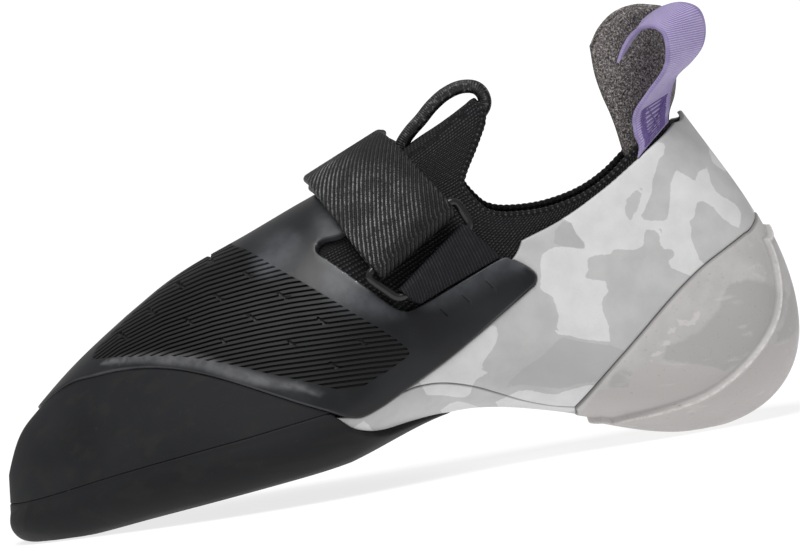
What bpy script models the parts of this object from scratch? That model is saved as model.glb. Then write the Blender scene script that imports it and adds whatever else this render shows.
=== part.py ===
"""Climbing shoe for the left foot: a downturned slip-on bootie with one hook-and-loop strap.

Metres, +Z up. The toe points to -X, the lateral (outer) side faces -Y and the floor is Z = 0.
The shoe stands on the toe of its sole and on its heel, with the arch clear of the floor.

Everything follows one surface, the last. A section of the last is a flat ring that runs from a
point on the bottom or back of the foot up to a point on its ridge, so the sections fan round the
heel. A place on the last is (u, v): u counts the sections from the toe tip, and v goes round one
section, 0 at the bottom or back, 1 at the ridge, with the medial side from 1 to 2, or 0 to -1.
"""

import math

import bmesh
import bpy
import numpy as np
from mathutils.geometry import delaunay_2d_cdt

# Driving sizes of the last
LENGTH = 0.254
HEIGHT = 0.100
BALL_WIDTH = 0.088
HEEL_WIDTH = 0.058

# Walls and clearances
GAP = 0.0003
LAYER_GAP = 0.0004
UPPER_WALL = 0.0020
INSOLE_WALL = 0.0016
RAND_WALL = 0.0015
PATCH_WALL = 0.0023
HEEL_CUP_WALL = 0.0019
HEEL_CAP_WALL = 0.0032
SOLE_WALL = 0.0049
SOLE_EDGE_WALL = 0.0016

# Strap, its ring and the webbing that holds the ring
STRAP_WALL = 0.0025
STRAP_LIFT = 0.0037
STRAP_END_LIFT = 0.0008
RING_WIRE = 0.0028
RING_CORNER = 0.0030
KEEPER_WALL = 0.0011
KEEPER_LIFT = 0.0006
RING_LOW = 0.0052

# Pull loops and heel tab
TONGUE_LOOP_WIDTH = 0.0066
TONGUE_LOOP_WALL = 0.0042
TAB_WALL = 0.0024
WEBBING_WALL = 0.0013

# Sections of the last from the toe tip to the waist. Lengths are shares of LENGTH from the toe,
# heights shares of HEIGHT, and the rest shares of BALL_WIDTH, positive towards the medial side.
#   bottom x, z    ridge x, z      axis y  ridge y  lateral  medial
FOREFOOT = (
    (0.010, 0.085, 0.016, 0.210, 0.215, 0.215, 0.000, 0.000),
    (0.020, 0.059, 0.033, 0.305, 0.205, 0.215, 0.105, 0.095),
    (0.047, 0.047, 0.063, 0.385, 0.170, 0.215, 0.190, 0.180),
    (0.094, 0.048, 0.114, 0.490, 0.122, 0.210, 0.255, 0.265),
    (0.165, 0.069, 0.185, 0.610, 0.068, 0.190, 0.350, 0.370),
    (0.248, 0.092, 0.262, 0.720, 0.022, 0.160, 0.425, 0.435),
    (0.339, 0.116, 0.343, 0.798, 0.000, 0.115, 0.475, 0.450),
    (0.425, 0.143, 0.417, 0.870, -0.022, 0.075, 0.460, 0.425),
    (0.504, 0.187, 0.484, 0.932, -0.028, 0.045, 0.415, 0.375),
    (0.579, 0.206, 0.539, 0.994, -0.022, 0.028, 0.370, 0.335),
)

# Sections from the waist round the heel to the collar. Widths are shares of HEEL_WIDTH.
REARFOOT = (
    (0.654, 0.172, 0.580, 1.044, -0.018, 0.024, 0.515, 0.470),
    (0.728, 0.114, 0.601, 1.067, 0.000, 0.017, 0.505, 0.465),
    (0.803, 0.050, 0.616, 1.085, 0.000, 0.010, 0.500, 0.475),
    (0.874, 0.030, 0.627, 1.099, 0.000, 0.000, 0.500, 0.485),
    (0.937, 0.076, 0.635, 1.110, 0.000, 0.000, 0.490, 0.485),
    (0.976, 0.185, 0.641, 1.118, 0.000, 0.000, 0.480, 0.475),
    (0.987, 0.330, 0.645, 1.124, 0.000, 0.000, 0.460, 0.455),
    (0.979, 0.490, 0.648, 1.129, 0.000, 0.000, 0.435, 0.430),
    (0.957, 0.660, 0.651, 1.132, 0.000, 0.000, 0.405, 0.405),
    (0.926, 0.825, 0.653, 1.135, 0.000, 0.000, 0.380, 0.380),
    (0.893, 0.990, 0.655, 1.138, 0.000, 0.000, 0.360, 0.360),
)

# Roundness of a half section at some stations u: corners of its control line, across as shares of
# the half width and up as shares of the section's height.
#   u   flat   low, edge   wide   shoulder, high   crown
ROUNDNESS = (
    (0, 0.70, 1.00, 0.20, 0.48, 0.88, 0.86, 0.55),
    (2, 0.74, 1.04, 0.13, 0.40, 0.88, 0.80, 0.50),
    (4, 0.78, 1.06, 0.08, 0.34, 0.90, 0.72, 0.46),
    (6, 0.78, 1.06, 0.06, 0.30, 0.88, 0.62, 0.44),
    (8, 0.66, 1.02, 0.09, 0.36, 0.90, 0.64, 0.46),
    (10, 0.52, 0.96, 0.12, 0.40, 0.92, 0.68, 0.48),
    (12, 0.55, 1.00, 0.09, 0.30, 0.84, 0.70, 0.46),
    (14, 0.55, 1.00, 0.10, 0.29, 0.82, 0.70, 0.44),
    (16, 0.58, 1.00, 0.12, 0.32, 0.80, 0.72, 0.44),
    (18, 0.58, 1.00, 0.15, 0.40, 0.84, 0.76, 0.46),
    (20, 0.58, 1.00, 0.21, 0.52, 0.90, 0.82, 0.50),
)

STATIONS = len(FOREFOOT) + len(REARFOOT) - 1
MIRRORED = 3


def cubic_through(at, values):
    """Second derivatives at each knot of the natural cubic spline through these values."""
    count = len(at)
    step = np.diff(at)
    matrix = np.eye(count)
    right = np.zeros((count, values.shape[1]))
    for i in range(1, count - 1):
        matrix[i, i - 1 : i + 2] = step[i - 1] / 6, (step[i - 1] + step[i]) / 3, step[i] / 6
        rise = (values[i + 1] - values[i]) / step[i] - (values[i] - values[i - 1]) / step[i - 1]
        right[i] = rise
    return np.linalg.solve(matrix, right)


def on_cubic(at, values, bends, x):
    """Values of that spline at each x."""
    x = np.atleast_1d(np.asarray(x, float))
    k = np.clip(np.searchsorted(at, x) - 1, 0, len(at) - 2)
    h = (at[k + 1] - at[k])[:, None]
    b = ((x - at[k]) / h[:, 0])[:, None]
    a = 1 - b
    bent = (a**3 - a) * bends[k] + (b**3 - b) * bends[k + 1]
    return a * values[k] + b * values[k + 1] + bent * h * h / 6


def section_table():
    """All sections in metres, with the first few mirrored in front of the toe tip."""
    rows = []
    for row in FOREFOOT:
        x0, z0, x1, z1, *across = row
        rows.append([x0 * LENGTH, z0 * HEIGHT, x1 * LENGTH, z1 * HEIGHT, *np.multiply(across, BALL_WIDTH)])
    for row in REARFOOT:
        x0, z0, x1, z1, *across = row
        rows.append([x0 * LENGTH, z0 * HEIGHT, x1 * LENGTH, z1 * HEIGHT, *np.multiply(across, HEEL_WIDTH)])
    rows = np.array(rows)
    rows[:, [0, 2]] -= LENGTH / 2
    front = rows[MIRRORED:0:-1].copy()
    front[:, 6:] *= -1
    return np.arange(-MIRRORED, STATIONS + 1.0), np.vstack([front, rows])


def roundness_table():
    table = np.array(ROUNDNESS)
    front = table[1:2].copy()
    front[:, 0] *= -1
    table = np.vstack([front, table])
    return table[:, 0], table[:, 1:]


SECTION_AT, SECTIONS = section_table()
SECTION_BENDS = cubic_through(SECTION_AT, SECTIONS)
ROUND_AT, ROUNDS = roundness_table()
ROUND_BENDS = cubic_through(ROUND_AT, ROUNDS)

# Lines of the lattice that every panel's triangles follow
U_LINES = np.concatenate([
    np.arange(0, 3, 0.375), np.linspace(3, 10, 13, endpoint=False), np.linspace(10, STATIONS, 18),
])
V_HALF = np.array([0, 0.12, 0.20, 0.25, 0.30, 0.35, 0.40, 0.48, 0.58, 0.667, 0.75, 0.833, 0.917, 1])
V_LINES = np.concatenate([-V_HALF[::-1], V_HALF[1:], 2 - V_HALF[-2::-1]])

# Outlines on the lateral side, as shares of LENGTH from the toe and of HEIGHT above the floor
COLLAR = (
    (0.658, 1.115), (0.659, 1.085), (0.655, 1.050), (0.640, 0.985), (0.624, 0.917), (0.621, 0.880),
    (0.635, 0.819), (0.648, 0.787), (0.672, 0.768), (0.715, 0.762), (0.760, 0.782), (0.798, 0.825),
    (0.835, 0.895), (0.868, 0.965),
)
SOLE_LINE = (
    (-0.01, 0.122), (0.031, 0.130), (0.074, 0.145), (0.136, 0.172), (0.188, 0.192), (0.254, 0.214),
    (0.312, 0.232), (0.363, 0.250), (0.415, 0.268),
)
PATCH_NOSE = ((2.05, 1), (2.18, 0.94), (2.60, 0.86), (3.26, 0.765))
PATCH_EDGE = (
    (0.129, 0.469), (0.167, 0.481), (0.205, 0.480), (0.241, 0.464),
    (0.276, 0.435), (0.311, 0.397), (0.346, 0.353), (0.380, 0.309), (0.415, 0.268),
)
ARM_FRONT = ((0.431, 0.248), (0.450, 0.243), (0.476, 0.264), (0.502, 0.293))
ARM_LOWER = ((0.502, 0.293), (0.558, 0.358), (0.599, 0.413), (0.641, 0.474), (0.687, 0.542))
ARM_END = ((0.687, 0.542), (0.690, 0.567), (0.681, 0.596), (0.664, 0.628))
ARM_UPPER = ((0.664, 0.628), (0.652, 0.637), (0.613, 0.604), (0.573, 0.566), (0.546, 0.541), (0.528, 0.529))
CUT_OUT = ((0.528, 0.529), (0.512, 0.548), (0.485, 0.618), (0.448, 0.720), (0.435, 0.754), (0.435, 0.773))
CUT_TOP = ((0.435, 0.773), (0.444, 0.790), (0.470, 0.798), (0.497, 0.860), (0.515, 0.930))
SLING_TOP = ((0.880, 0.945), (0.844, 0.877), (0.788, 0.792), (0.733, 0.724), (0.680, 0.681))
HEEL_CREASE = (
    (0.712, 0.155), (0.746, 0.220), (0.777, 0.280), (0.806, 0.339), (0.836, 0.402), (0.865, 0.459),
    (0.893, 0.507), (0.921, 0.545), (0.948, 0.580),
)
CAP_EDGE = ((0.745, 0.112), (0.777, 0.112), (0.835, 0.118), (0.899, 0.149), (0.933, 0.191), (0.961, 0.235))
ARCH_CREASE = (
    (0.502, 0.293), (0.523, 0.303), (0.554, 0.300), (0.590, 0.275), (0.624, 0.236), (0.652, 0.202),
    (0.684, 0.172),
    (0.712, 0.155),
)

# Each edge of the strap: its place at the ring, as shares of LENGTH and HEIGHT, and u on the ridge
STRAP_EDGES = (((0.498, 0.648), 7.35), ((0.599, 0.808), 9.20))

# Corners of the ring and of the webbing below it, as shares of LENGTH and HEIGHT
RING_CORNERS = ((0.4880, 0.632), (0.6060, 0.822), (0.6215, 0.741), (0.5200, 0.560))
KEEPER_CORNERS = ((0.5280, 0.563), (0.6190, 0.727), (0.6510, 0.642), (0.5440, 0.548))

# Middle of the pull loop on the tongue, as shares of LENGTH and HEIGHT
TONGUE_LOOP = (
    (0.5628, 1.052), (0.5755, 1.072), (0.5862, 1.094), (0.6012, 1.134), (0.6200, 1.166), (0.6420, 1.182),
    (0.6605, 1.174), (0.6692, 1.146), (0.6682, 1.104), (0.6490, 1.066), (0.6290, 1.043),
)

# Heel tab: height, front and back of its U, as shares of HEIGHT and LENGTH, and half width of HEEL_WIDTH
HEEL_TAB = (
    (0.870, 0.824, 0.878, 0.290), (0.980, 0.820, 0.880, 0.300), (1.050, 0.816, 0.886, 0.312),
    (1.130, 0.810, 0.896, 0.325), (1.220, 0.806, 0.902, 0.330), (1.330, 0.806, 0.902, 0.330),
)

# Top of the tab from its middle (0) to its front edge (1), as a share of its full height
TAB_TOP = ((0, 0.30, 0.55, 0.75, 0.90, 1), (0.968, 0.992, 1.0, 0.990, 0.960, 0.920))

# Webbing loop at the heel: near edge and far edge, each as x, z, y, shares of LENGTH, HEIGHT, HEEL_WIDTH
HEEL_LOOP = (
    (0.845, 0.905, -0.418, 0.884, 0.985, -0.292), (0.839, 0.945, -0.420, 0.888, 1.012, -0.292),
    (0.842, 1.005, -0.430, 0.893, 1.055, -0.285), (0.863, 1.065, -0.462, 0.904, 1.104, -0.272),
    (0.886, 1.125, -0.497, 0.924, 1.139, -0.275), (0.894, 1.178, -0.507, 0.941, 1.182, -0.310),
    (0.894, 1.235, -0.492, 0.948, 1.240, -0.338), (0.884, 1.263, -0.465, 0.944, 1.295, -0.370),
    (0.868, 1.266, -0.432, 0.927, 1.322, -0.364), (0.852, 1.242, -0.403, 0.906, 1.322, -0.340),
    (0.840, 1.202, -0.390, 0.888, 1.308, -0.325), (0.834, 1.173, -0.385, 0.873, 1.288, -0.322),
)

# Places on the chart of the last
UPPER_OPENING = (1.6, 8.4, 0.105)
INSOLE_REACH = (0.9, 12.2, 0.135)
SOLE_TAIL = (
    (6.89, 0.400), (7.02, 0.360), (7.20, 0.310), (7.60, 0.240), (8.10, 0.195), (8.60, 0.130), (8.80, 0),
)
SOLE_BEVEL = 0.17
SOLE_FADE = 1.8
SOLE_NOSE = 0.20
ARCH_END = 10.75
CAP_FRONT = ((11.0, 0), (11.02, 0.09), (11.25, 0.16))
CAP_BACK = ((15.02, 0.234), (15.50, 0.180), (16.00, 0.135), (16.70, 0.110), (17.25, 0.085), (17.50, 0))
CREASE_BACK = ((17.20, 0.271), (17.55, 0.180), (17.75, 0.090), (17.80, 0))
SLING_BACK = 19.75
PATCH_BACK = 8.95
TONGUE_STATION = 15

# Width of the step round a raised area, the part of the chart over which the two sides blend at the
# nose, and the least distance between outline points, in cells of the lattice
STEP = 0.0006
NOSE = 0.35
CLOSEST = 0.4


def step_on(value, low, high):
    """Smooth step from 0 at low to 1 at high."""
    share = np.clip((value - low) / (high - low), 0, 1)
    return share * share * (3 - 2 * share)


def ring_weights(v):
    """Four corners of the twelve round a section that count at v, and their weights."""
    at = np.mod(v, 2) * 6
    k = np.floor(at).astype(int)
    f = at - k
    weights = np.stack([(1 - f) ** 3, 3 * f**3 - 6 * f**2 + 4, -3 * f**3 + 3 * f**2 + 3 * f + 1, f**3]) / 6
    return (k + np.arange(-1, 3)[:, None]) % 12, weights


def base(u, v):
    """Points of the last at the chart places u, v."""
    u, v = np.broadcast_arrays(np.atleast_1d(np.asarray(u, float)), np.atleast_1d(np.asarray(v, float)))
    bx, bz, tx, tz, axis, ridge, lateral, medial = on_cubic(SECTION_AT, SECTIONS, SECTION_BENDS, u).T
    flat, edge, low, wide, shoulder, high, crown = on_cubic(ROUND_AT, ROUNDS, ROUND_BENDS, u).T
    none, full = np.zeros_like(u), np.ones_like(u)
    out = np.stack([none, flat, edge, full, shoulder, crown, none]) * 6 / (edge + 4 + shoulder)
    up = np.stack([none, none, low, wide, high, full, full])
    across = np.concatenate([-out * lateral, out[5:0:-1] * medial])
    up = np.concatenate([up, up[5:0:-1]])
    corners, weights = ring_weights(v)
    here = np.arange(len(u))
    rise = sum(w * up[k, here] for k, w in zip(corners, weights))
    side = sum(w * across[k, here] for k, w in zip(corners, weights))
    middle = axis + (ridge - axis) * rise
    return np.stack([bx + (tx - bx) * rise, middle + side, bz + (tz - bz) * rise], axis=1)


def slope(u, v):
    """Steps along u and along v."""
    e = 1e-3
    return (base(u + e, v) - base(u - e, v)) / (2 * e), (base(u, v + e) - base(u, v - e)) / (2 * e)


def unit(vectors):
    return vectors / np.maximum(np.linalg.norm(vectors, axis=-1, keepdims=True), 1e-9)


def outward(u, v):
    """Outward directions, blended between the two sides at the nose, where the sections close."""
    far = np.maximum(u, NOSE)
    here = unit(np.cross(*slope(far, v)))
    other = unit(np.cross(*slope(far, -v)))
    share = np.clip((1 + u / NOSE) / 2, 0, 1)[:, None]
    return unit(share * here + (1 - share) * other)


def last(u, v, out=0.0):
    """Points at a distance out from the last."""
    u, v = np.broadcast_arrays(np.atleast_1d(np.asarray(u, float)), np.atleast_1d(np.asarray(v, float)))
    return base(u, v) + np.atleast_1d(out)[:, None] * outward(u, v)


def on_side(x, z):
    """Chart places of lateral points at x behind the toe and z above the floor."""
    us = np.linspace(0, STATIONS, 801)
    bx, bz, tx, tz = on_cubic(SECTION_AT, SECTIONS, SECTION_BENDS, us)[:, :4].T
    vs = np.linspace(0, 1, 121)
    places = []
    for px, pz in zip(np.asarray(x) - LENGTH / 2, z):
        behind = (px - bx) * (tz - bz) - (pz - bz) * (tx - bx)
        k = int(np.argmax(behind < 0)) if (behind < 0).any() else len(us) - 1
        u = us[k]
        if k > 0:
            u = us[k - 1] + (us[k] - us[k - 1]) * behind[k - 1] / (behind[k - 1] - behind[k])
        line = base(np.full(len(vs), u), vs)[:, [0, 2]]
        reach = line[-1] - line[0]
        rise = np.clip(np.dot([px, pz] - line[0], reach) / np.dot(reach, reach), 0, 1)
        rises = np.maximum.accumulate((line - line[0]) @ reach / np.dot(reach, reach))
        places.append((u, float(np.interp(rise, rises, vs))))
    return places


def smooth(points, steps=4):
    """Points along a Catmull-Rom curve through these."""
    points = np.array(points, float)
    if len(points) < 3:
        return points
    ends = 2 * points[0] - points[1], 2 * points[-1] - points[-2]
    p = np.vstack([ends[0], points, ends[1]])
    t = np.linspace(0, 1, steps, endpoint=False)[:, None]
    line = []
    for a, b, c, d in zip(p, p[1:], p[2:], p[3:]):
        square, cube = 2 * a - 5 * b + 4 * c - d, 3 * b - a - 3 * c + d
        line.append(0.5 * (2 * b + (c - a) * t + square * t**2 + cube * t**3))
    return np.vstack([*line, points[-1:]])


def thinned(path):
    """The path without points that lie close behind the one before; both ends stay."""
    places = to_lattice(path)
    kept = [0]
    for i in range(1, len(path) - 1):
        clear = min(np.linalg.norm(places[i] - places[kept[-1]]), np.linalg.norm(places[i] - places[-1]))
        if clear > CLOSEST:
            kept.append(i)
    return [tuple(path[i]) for i in [*kept, len(path) - 1]]


def trace(table, steps=4):
    """Chart line of one outline table."""
    line = smooth(table, steps)
    path = on_side(line[:, 0] * LENGTH, line[:, 1] * HEIGHT)
    return thinned(path) if len(path) > 2 else path


def chart_curve(table, steps=3):
    """Smooth line through chart places."""
    return thinned([tuple(place) for place in smooth(table, steps)])


def mirrored(path, about=0):
    """The same path on the medial side, walked backwards."""
    return [(u, 2 * about - v) for u, v in reversed(path)]


def to_lattice(chart):
    chart = np.asarray(chart, float)
    return np.stack([
        np.interp(chart[:, 0], U_LINES, np.arange(len(U_LINES))),
        np.interp(chart[:, 1], V_LINES, np.arange(len(V_LINES))),
    ], axis=1)


def from_lattice(places):
    return np.stack([
        np.interp(places[:, 0], np.arange(len(U_LINES)), U_LINES),
        np.interp(places[:, 1], np.arange(len(V_LINES)), V_LINES),
    ], axis=1)


def area(loop):
    after = np.roll(loop, -1, axis=0)
    return float(np.sum(loop[:, 0] * after[:, 1] - after[:, 0] * loop[:, 1])) / 2


def divided(loop, longest=1.0):
    """The loop, anticlockwise, with no step longer than one cell of the lattice."""
    loop = to_lattice(loop)
    if area(loop) < 0:
        loop = loop[::-1]
    points = []
    for a, b in zip(loop, np.roll(loop, -1, axis=0)):
        length = np.linalg.norm(b - a)
        if length > 0.05:
            count = max(1, math.ceil(length / longest - 0.001))
            points.extend(a + (b - a) * i / count for i in range(count))
    chart = from_lattice(np.array(points))
    on_fold = (chart[:, 0] == 0) & (np.abs(chart[:, 1]) < 0.05)
    return np.array(points)[~on_fold]


def inset(loop, distance):
    """The divided loop moved inwards by a distance on the surface; its seams stay where they are."""
    chart = from_lattice(loop)
    points = base(chart[:, 0], chart[:, 1])
    along = np.roll(points, -1, axis=0) - np.roll(points, 1, axis=0)
    du, dv = slope(np.maximum(chart[:, 0], 0.1), chart[:, 1])
    inward = unit(np.cross(outward(chart[:, 0], chart[:, 1]), along)) * distance
    on_seam = (chart[:, 0] == 0) | np.isclose(np.abs(chart[:, 1] % 2), 1)
    moved = chart.copy()
    for i, (a, b, shift) in enumerate(zip(du, dv, inward)):
        if on_seam[i] and on_seam[i - 1] and on_seam[(i + 1) % len(chart)]:
            continue
        step = np.linalg.lstsq(np.stack([a, b], axis=1), shift, rcond=None)[0]
        if on_seam[i]:
            step[0 if chart[i, 0] == 0 else 1] = 0
        moved[i] += np.clip(step, -0.2, 0.2)
    moved[:, 0] = np.clip(moved[:, 0], 0, STATIONS)
    return to_lattice(moved)


def inside(loop, points):
    """Which points lie inside the loop."""
    hit = np.zeros(len(points), bool)
    for a, b in zip(loop, np.roll(loop, -1, axis=0)):
        spans = (a[1] > points[:, 1]) != (b[1] > points[:, 1])
        if a[1] != b[1]:
            hit ^= spans & (points[:, 0] < a[0] + (b[0] - a[0]) * (points[:, 1] - a[1]) / (b[1] - a[1]))
    return hit


def clear_of(loop, points, distance):
    """Which points are farther than a distance from the loop."""
    keep = np.ones(len(points), bool)
    for a, b in zip(loop, np.roll(loop, -1, axis=0)):
        share = np.clip((points - a) @ (b - a) / max(np.dot(b - a, b - a), 1e-12), 0, 1)[:, None]
        keep &= np.linalg.norm(points - a - share * (b - a), axis=1) > distance
    return keep


def triangles_of(outline, holes=(), steps=()):
    """Lattice points and triangles that fill an outline."""
    loops = [outline, *holes, *steps]
    low, high = np.floor(outline.min(axis=0)), np.ceil(outline.max(axis=0))
    ranges = [np.arange(first, final + 1) for first, final in zip(low, high)]
    grid = np.stack(np.meshgrid(*ranges), -1).reshape(-1, 2)
    keep = inside(outline, grid)
    for hole in holes:
        keep &= ~inside(hole, grid)
    for loop in loops:
        keep &= clear_of(loop, grid, 0.22)
    points = np.vstack([*loops, grid[keep]])
    edges = []
    for loop in loops:
        first = sum(len(before) for before in loops[: [id(each) for each in loops].index(id(loop))])
        edges.extend((first + i, first + (i + 1) % len(loop)) for i in range(len(loop)))
    found, _, faces, *_ = delaunay_2d_cdt([tuple(p) for p in points], edges, [], 0, 1e-6, False)
    found = np.array([tuple(p) for p in found])
    middles = found[np.array(faces)].mean(axis=1)
    keep = inside(outline, middles)
    for hole in holes:
        keep &= ~inside(hole, middles)
    turned = []
    for face in np.array(faces)[keep]:
        a, b, c = found[face]
        size = (b[0] - a[0]) * (c[1] - a[1]) - (b[1] - a[1]) * (c[0] - a[0])
        if abs(size) > 1e-7:
            turned.append(tuple(face) if size > 0 else tuple(face[::-1]))
    return found, turned


def material(name, colour, roughness, metallic=0.0):
    made = bpy.data.materials.new(name)
    made.use_nodes = True
    shader = made.node_tree.nodes["Principled BSDF"]
    shader.inputs["Base Color"].default_value = (*colour, 1)
    shader.inputs["Roughness"].default_value = roughness
    shader.inputs["Metallic"].default_value = metallic
    return made


def add(name, points, faces, look, smooth_angle=40):
    """A welded mesh object in the shoe's collection."""
    mesh = bpy.data.meshes.new(name)
    made = bmesh.new()
    corners = [made.verts.new(point) for point in points]
    for face in faces:
        made.faces.new([corners[i] for i in face])
    bmesh.ops.remove_doubles(made, verts=made.verts, dist=1e-4)
    loose = [vert for vert in made.verts if not vert.link_faces]
    bmesh.ops.delete(made, geom=loose, context="VERTS")
    made.to_mesh(mesh)
    made.free()
    mesh.materials.append(look)
    mesh.shade_smooth()
    mesh.set_sharp_from_angle(angle=math.radians(smooth_angle))
    thing = bpy.data.objects.new(name, mesh)
    SHOE.objects.link(thing)
    return thing


def thicken(thing, wall, offset):
    """Solidify, outwards for offset 1 and inwards for -1."""
    made = thing.modifiers.new("wall", "SOLIDIFY")
    made.thickness = wall
    made.offset = offset
    made.use_quality_normals = True
    return made


def panel(
    name, look, outlines, wall, out=LAYER_GAP, offset=1, edge_gap=GAP / 2, holes=(), raised=None, share=None,
):
    """A piece cut from the last: outlines on the chart, filled, set off by out and given a wall.

    raised is (outline, wall): inside that outline the wall is this much instead.
    share(u, v) makes the wall thinner at some places of the chart.
    """
    points, faces, shares = [], [], []
    for outline in outlines:
        loop = divided(outline)
        cut = [divided(hole) for hole in holes]
        steps = []
        if raised:
            steps = [divided(raised[0]), inset(divided(raised[0]), STEP)]
        found, triangles = triangles_of(inset(loop, edge_gap), cut, steps)
        chart = from_lattice(found)
        faces.extend(tuple(i + len(points) for i in face) for face in triangles)
        points.extend(last(chart[:, 0], chart[:, 1], out))
        if raised:
            lifted = inside(steps[1], found) | ~clear_of(steps[1], found, 1e-4)
            shares.extend(np.where(lifted, 1, wall / raised[1]))
        if share:
            shares.extend(share(chart[:, 0], chart[:, 1]))
    thing = add(name, points, faces, look)
    made = thicken(thing, raised[1] if raised else wall, offset)
    if shares:
        group = thing.vertex_groups.new(name="wall")
        places = np.array(points)
        for vert in thing.data.vertices:
            nearest = int(np.argmin(np.linalg.norm(places - vert.co, axis=1)))
            group.add([vert.index], float(shares[nearest]), "REPLACE")
        made.vertex_group = group.name
    return thing


def oval(first, final, reach):
    """A long oval round the bottom centre, from one section to another."""
    middle, half = (first + final) / 2, (final - first) / 2
    turns = [2 * math.pi * i / 40 for i in range(40)]
    return [
        (
            middle + half * math.copysign(abs(math.cos(a)) ** 0.8, math.cos(a)),
            reach * math.copysign(abs(math.sin(a)) ** 0.5, math.sin(a)),
        )
        for a in turns
    ]


def cut_flat(*things):
    """Flat spots on the floor."""
    bpy.ops.mesh.primitive_cube_add(size=1)
    block = bpy.context.object
    block.name = "below_floor"
    block.scale = (2 * LENGTH, 2 * BALL_WIDTH, 0.02)
    block.location = (0, 0, -0.01)
    for collection in block.users_collection:
        collection.objects.unlink(block)
    CUTTERS.objects.link(block)
    block.hide_render = True
    block.display_type = "WIRE"
    for thing in things:
        cut = thing.modifiers.new("floor", "BOOLEAN")
        cut.operation = "DIFFERENCE"
        cut.solver = "EXACT"
        cut.object = block


def centre():
    """Shift all pieces alike, so that the middle of their common box is over the origin."""
    depsgraph = bpy.context.evaluated_depsgraph_get()
    places = []
    for thing in SHOE.objects:
        made = thing.evaluated_get(depsgraph).to_mesh()
        places.append(np.array([vert.co for vert in made.vertices]))
    places = np.vstack(places)
    shift = -(places.min(axis=0) + places.max(axis=0)) / 2
    for thing in [*SHOE.objects, *CUTTERS.objects]:
        thing.location.x += shift[0]
        thing.location.y += shift[1]


def start():
    """Empty scene with one collection for the shoe and one for its cutters."""
    for thing in list(bpy.data.objects):
        bpy.data.objects.remove(thing)
    made = [bpy.data.collections.new(name) for name in ("climbing_shoe", "cutters")]
    for collection in made:
        bpy.context.scene.collection.children.link(collection)
    return made


SHOE, CUTTERS = start()
KNIT = material("knit", (0.022, 0.022, 0.026), 0.9)
BLACK_RUBBER = material("black_rubber", (0.030, 0.031, 0.034), 0.55)
CHARCOAL_RUBBER = material("charcoal_rubber", (0.045, 0.047, 0.052), 0.8)
CAMO_RUBBER = material("camo_rubber", (0.62, 0.63, 0.64), 0.6)
HEEL_RUBBER = material("heel_rubber", (0.50, 0.48, 0.46), 0.65)
BOARD = material("board", (0.20, 0.19, 0.18), 0.9)


def build_upper():
    """Knitted bootie, one wall, open at the collar and under the forefoot."""
    edge = [(STATIONS, 1), *trace(COLLAR), (STATIONS, 0)]
    outline = [(0, 1), *edge, *mirrored(edge), (0, -1)]
    hole = oval(*UPPER_OPENING)
    return panel("upper", KNIT, [outline], UPPER_WALL, out=0, offset=-1, edge_gap=0, holes=[hole])


def build_insole():
    """Board on the inside; its middle drops into the opening of the upper."""
    first, final, reach = UPPER_OPENING
    middle = oval(first + 0.06, final - 0.06, reach - 0.004)
    top = UPPER_WALL + 2 * GAP + INSOLE_WALL
    return panel("insole", BOARD, [oval(*INSOLE_REACH)], INSOLE_WALL, out=-top, raised=(middle, top))


def sole_share(u, v):
    """Share of the sole's full wall: thin up the side, round the nose and towards the arch."""
    edge = 0.40 - SOLE_BEVEL * np.clip(1 - u / 1.5, 0, 1)
    across = np.clip((edge - np.abs(v)) / SOLE_BEVEL, 0, 1)
    nose = SOLE_NOSE + (1 - SOLE_NOSE) * step_on(u, 0, 1.2)
    along = np.clip((SOLE_TAIL[-1][0] - u) / SOLE_FADE, 0, 1) * nose
    least = SOLE_EDGE_WALL / SOLE_WALL
    return least + (1 - least) * across * along


def build_outsole():
    """Rubber sole that turns up round the toe and thins towards its edge."""
    side = [*trace(SOLE_LINE)[:-1], *chart_curve(SOLE_TAIL)]
    outline = [*side, *mirrored(side)[1:]]
    return panel("outsole", CHARCOAL_RUBBER, [outline], SOLE_WALL, share=sole_share)


def build_rands():
    half = [*trace(SOLE_LINE), *reversed(trace(PATCH_EDGE))]
    half += [*list(reversed(chart_curve(PATCH_NOSE)))[1:], (0, 1)]
    return panel("toe_rand", CHARCOAL_RUBBER, [half, mirrored(half)], RAND_WALL)


def build_patch():
    side = [*chart_curve(PATCH_NOSE)[:-1], *trace(PATCH_EDGE)]
    side += [*trace(ARM_FRONT), *trace(ARM_LOWER)[1:], *trace(ARM_END)[1:]]
    side += [*trace(ARM_UPPER)[1:], *trace(CUT_OUT)[1:], *trace(CUT_TOP)[1:], (PATCH_BACK, 1)]
    return panel("toe_patch", BLACK_RUBBER, [[*side, *mirrored(side, 1)[1:-1]]], PATCH_WALL)


def build_sling():
    side = [(SLING_BACK, 0), *trace(SLING_TOP)]
    side += [*reversed(trace(ARM_END)), *list(reversed(trace(ARM_LOWER)))[1:]]
    side += [*trace(ARCH_CREASE)[1:], *trace(HEEL_CREASE)[1:-1], *chart_curve(CREASE_BACK)]
    return panel("sling_rand", CAMO_RUBBER, [[*side, *mirrored(side)[1:-1]]], RAND_WALL)


def build_arch():
    front = [place for place in chart_curve(SOLE_TAIL) if place[0] > 7.15]
    arm = [place for place in trace(ARM_FRONT) if place[0] > 7.3]
    side = [*reversed(front), *arm, *trace(ARCH_CREASE)[1:], (ARCH_END, 0)]
    return panel("arch_panel", CAMO_RUBBER, [[*side, *mirrored(side)[1:-1]]], RAND_WALL)


def build_heel():
    side = [(ARCH_END, 0), *trace(HEEL_CREASE)[:-1], *chart_curve(CREASE_BACK)]
    cap = [*CAP_FRONT, *trace(CAP_EDGE)[1:-1], *chart_curve(CAP_BACK)]
    raised = [*cap, *mirrored(cap)[1:-1]], HEEL_CAP_WALL
    return panel("heel_cup", HEEL_RUBBER, [[*side, *mirrored(side)[1:-1]]], HEEL_CUP_WALL, raised=raised)


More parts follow.
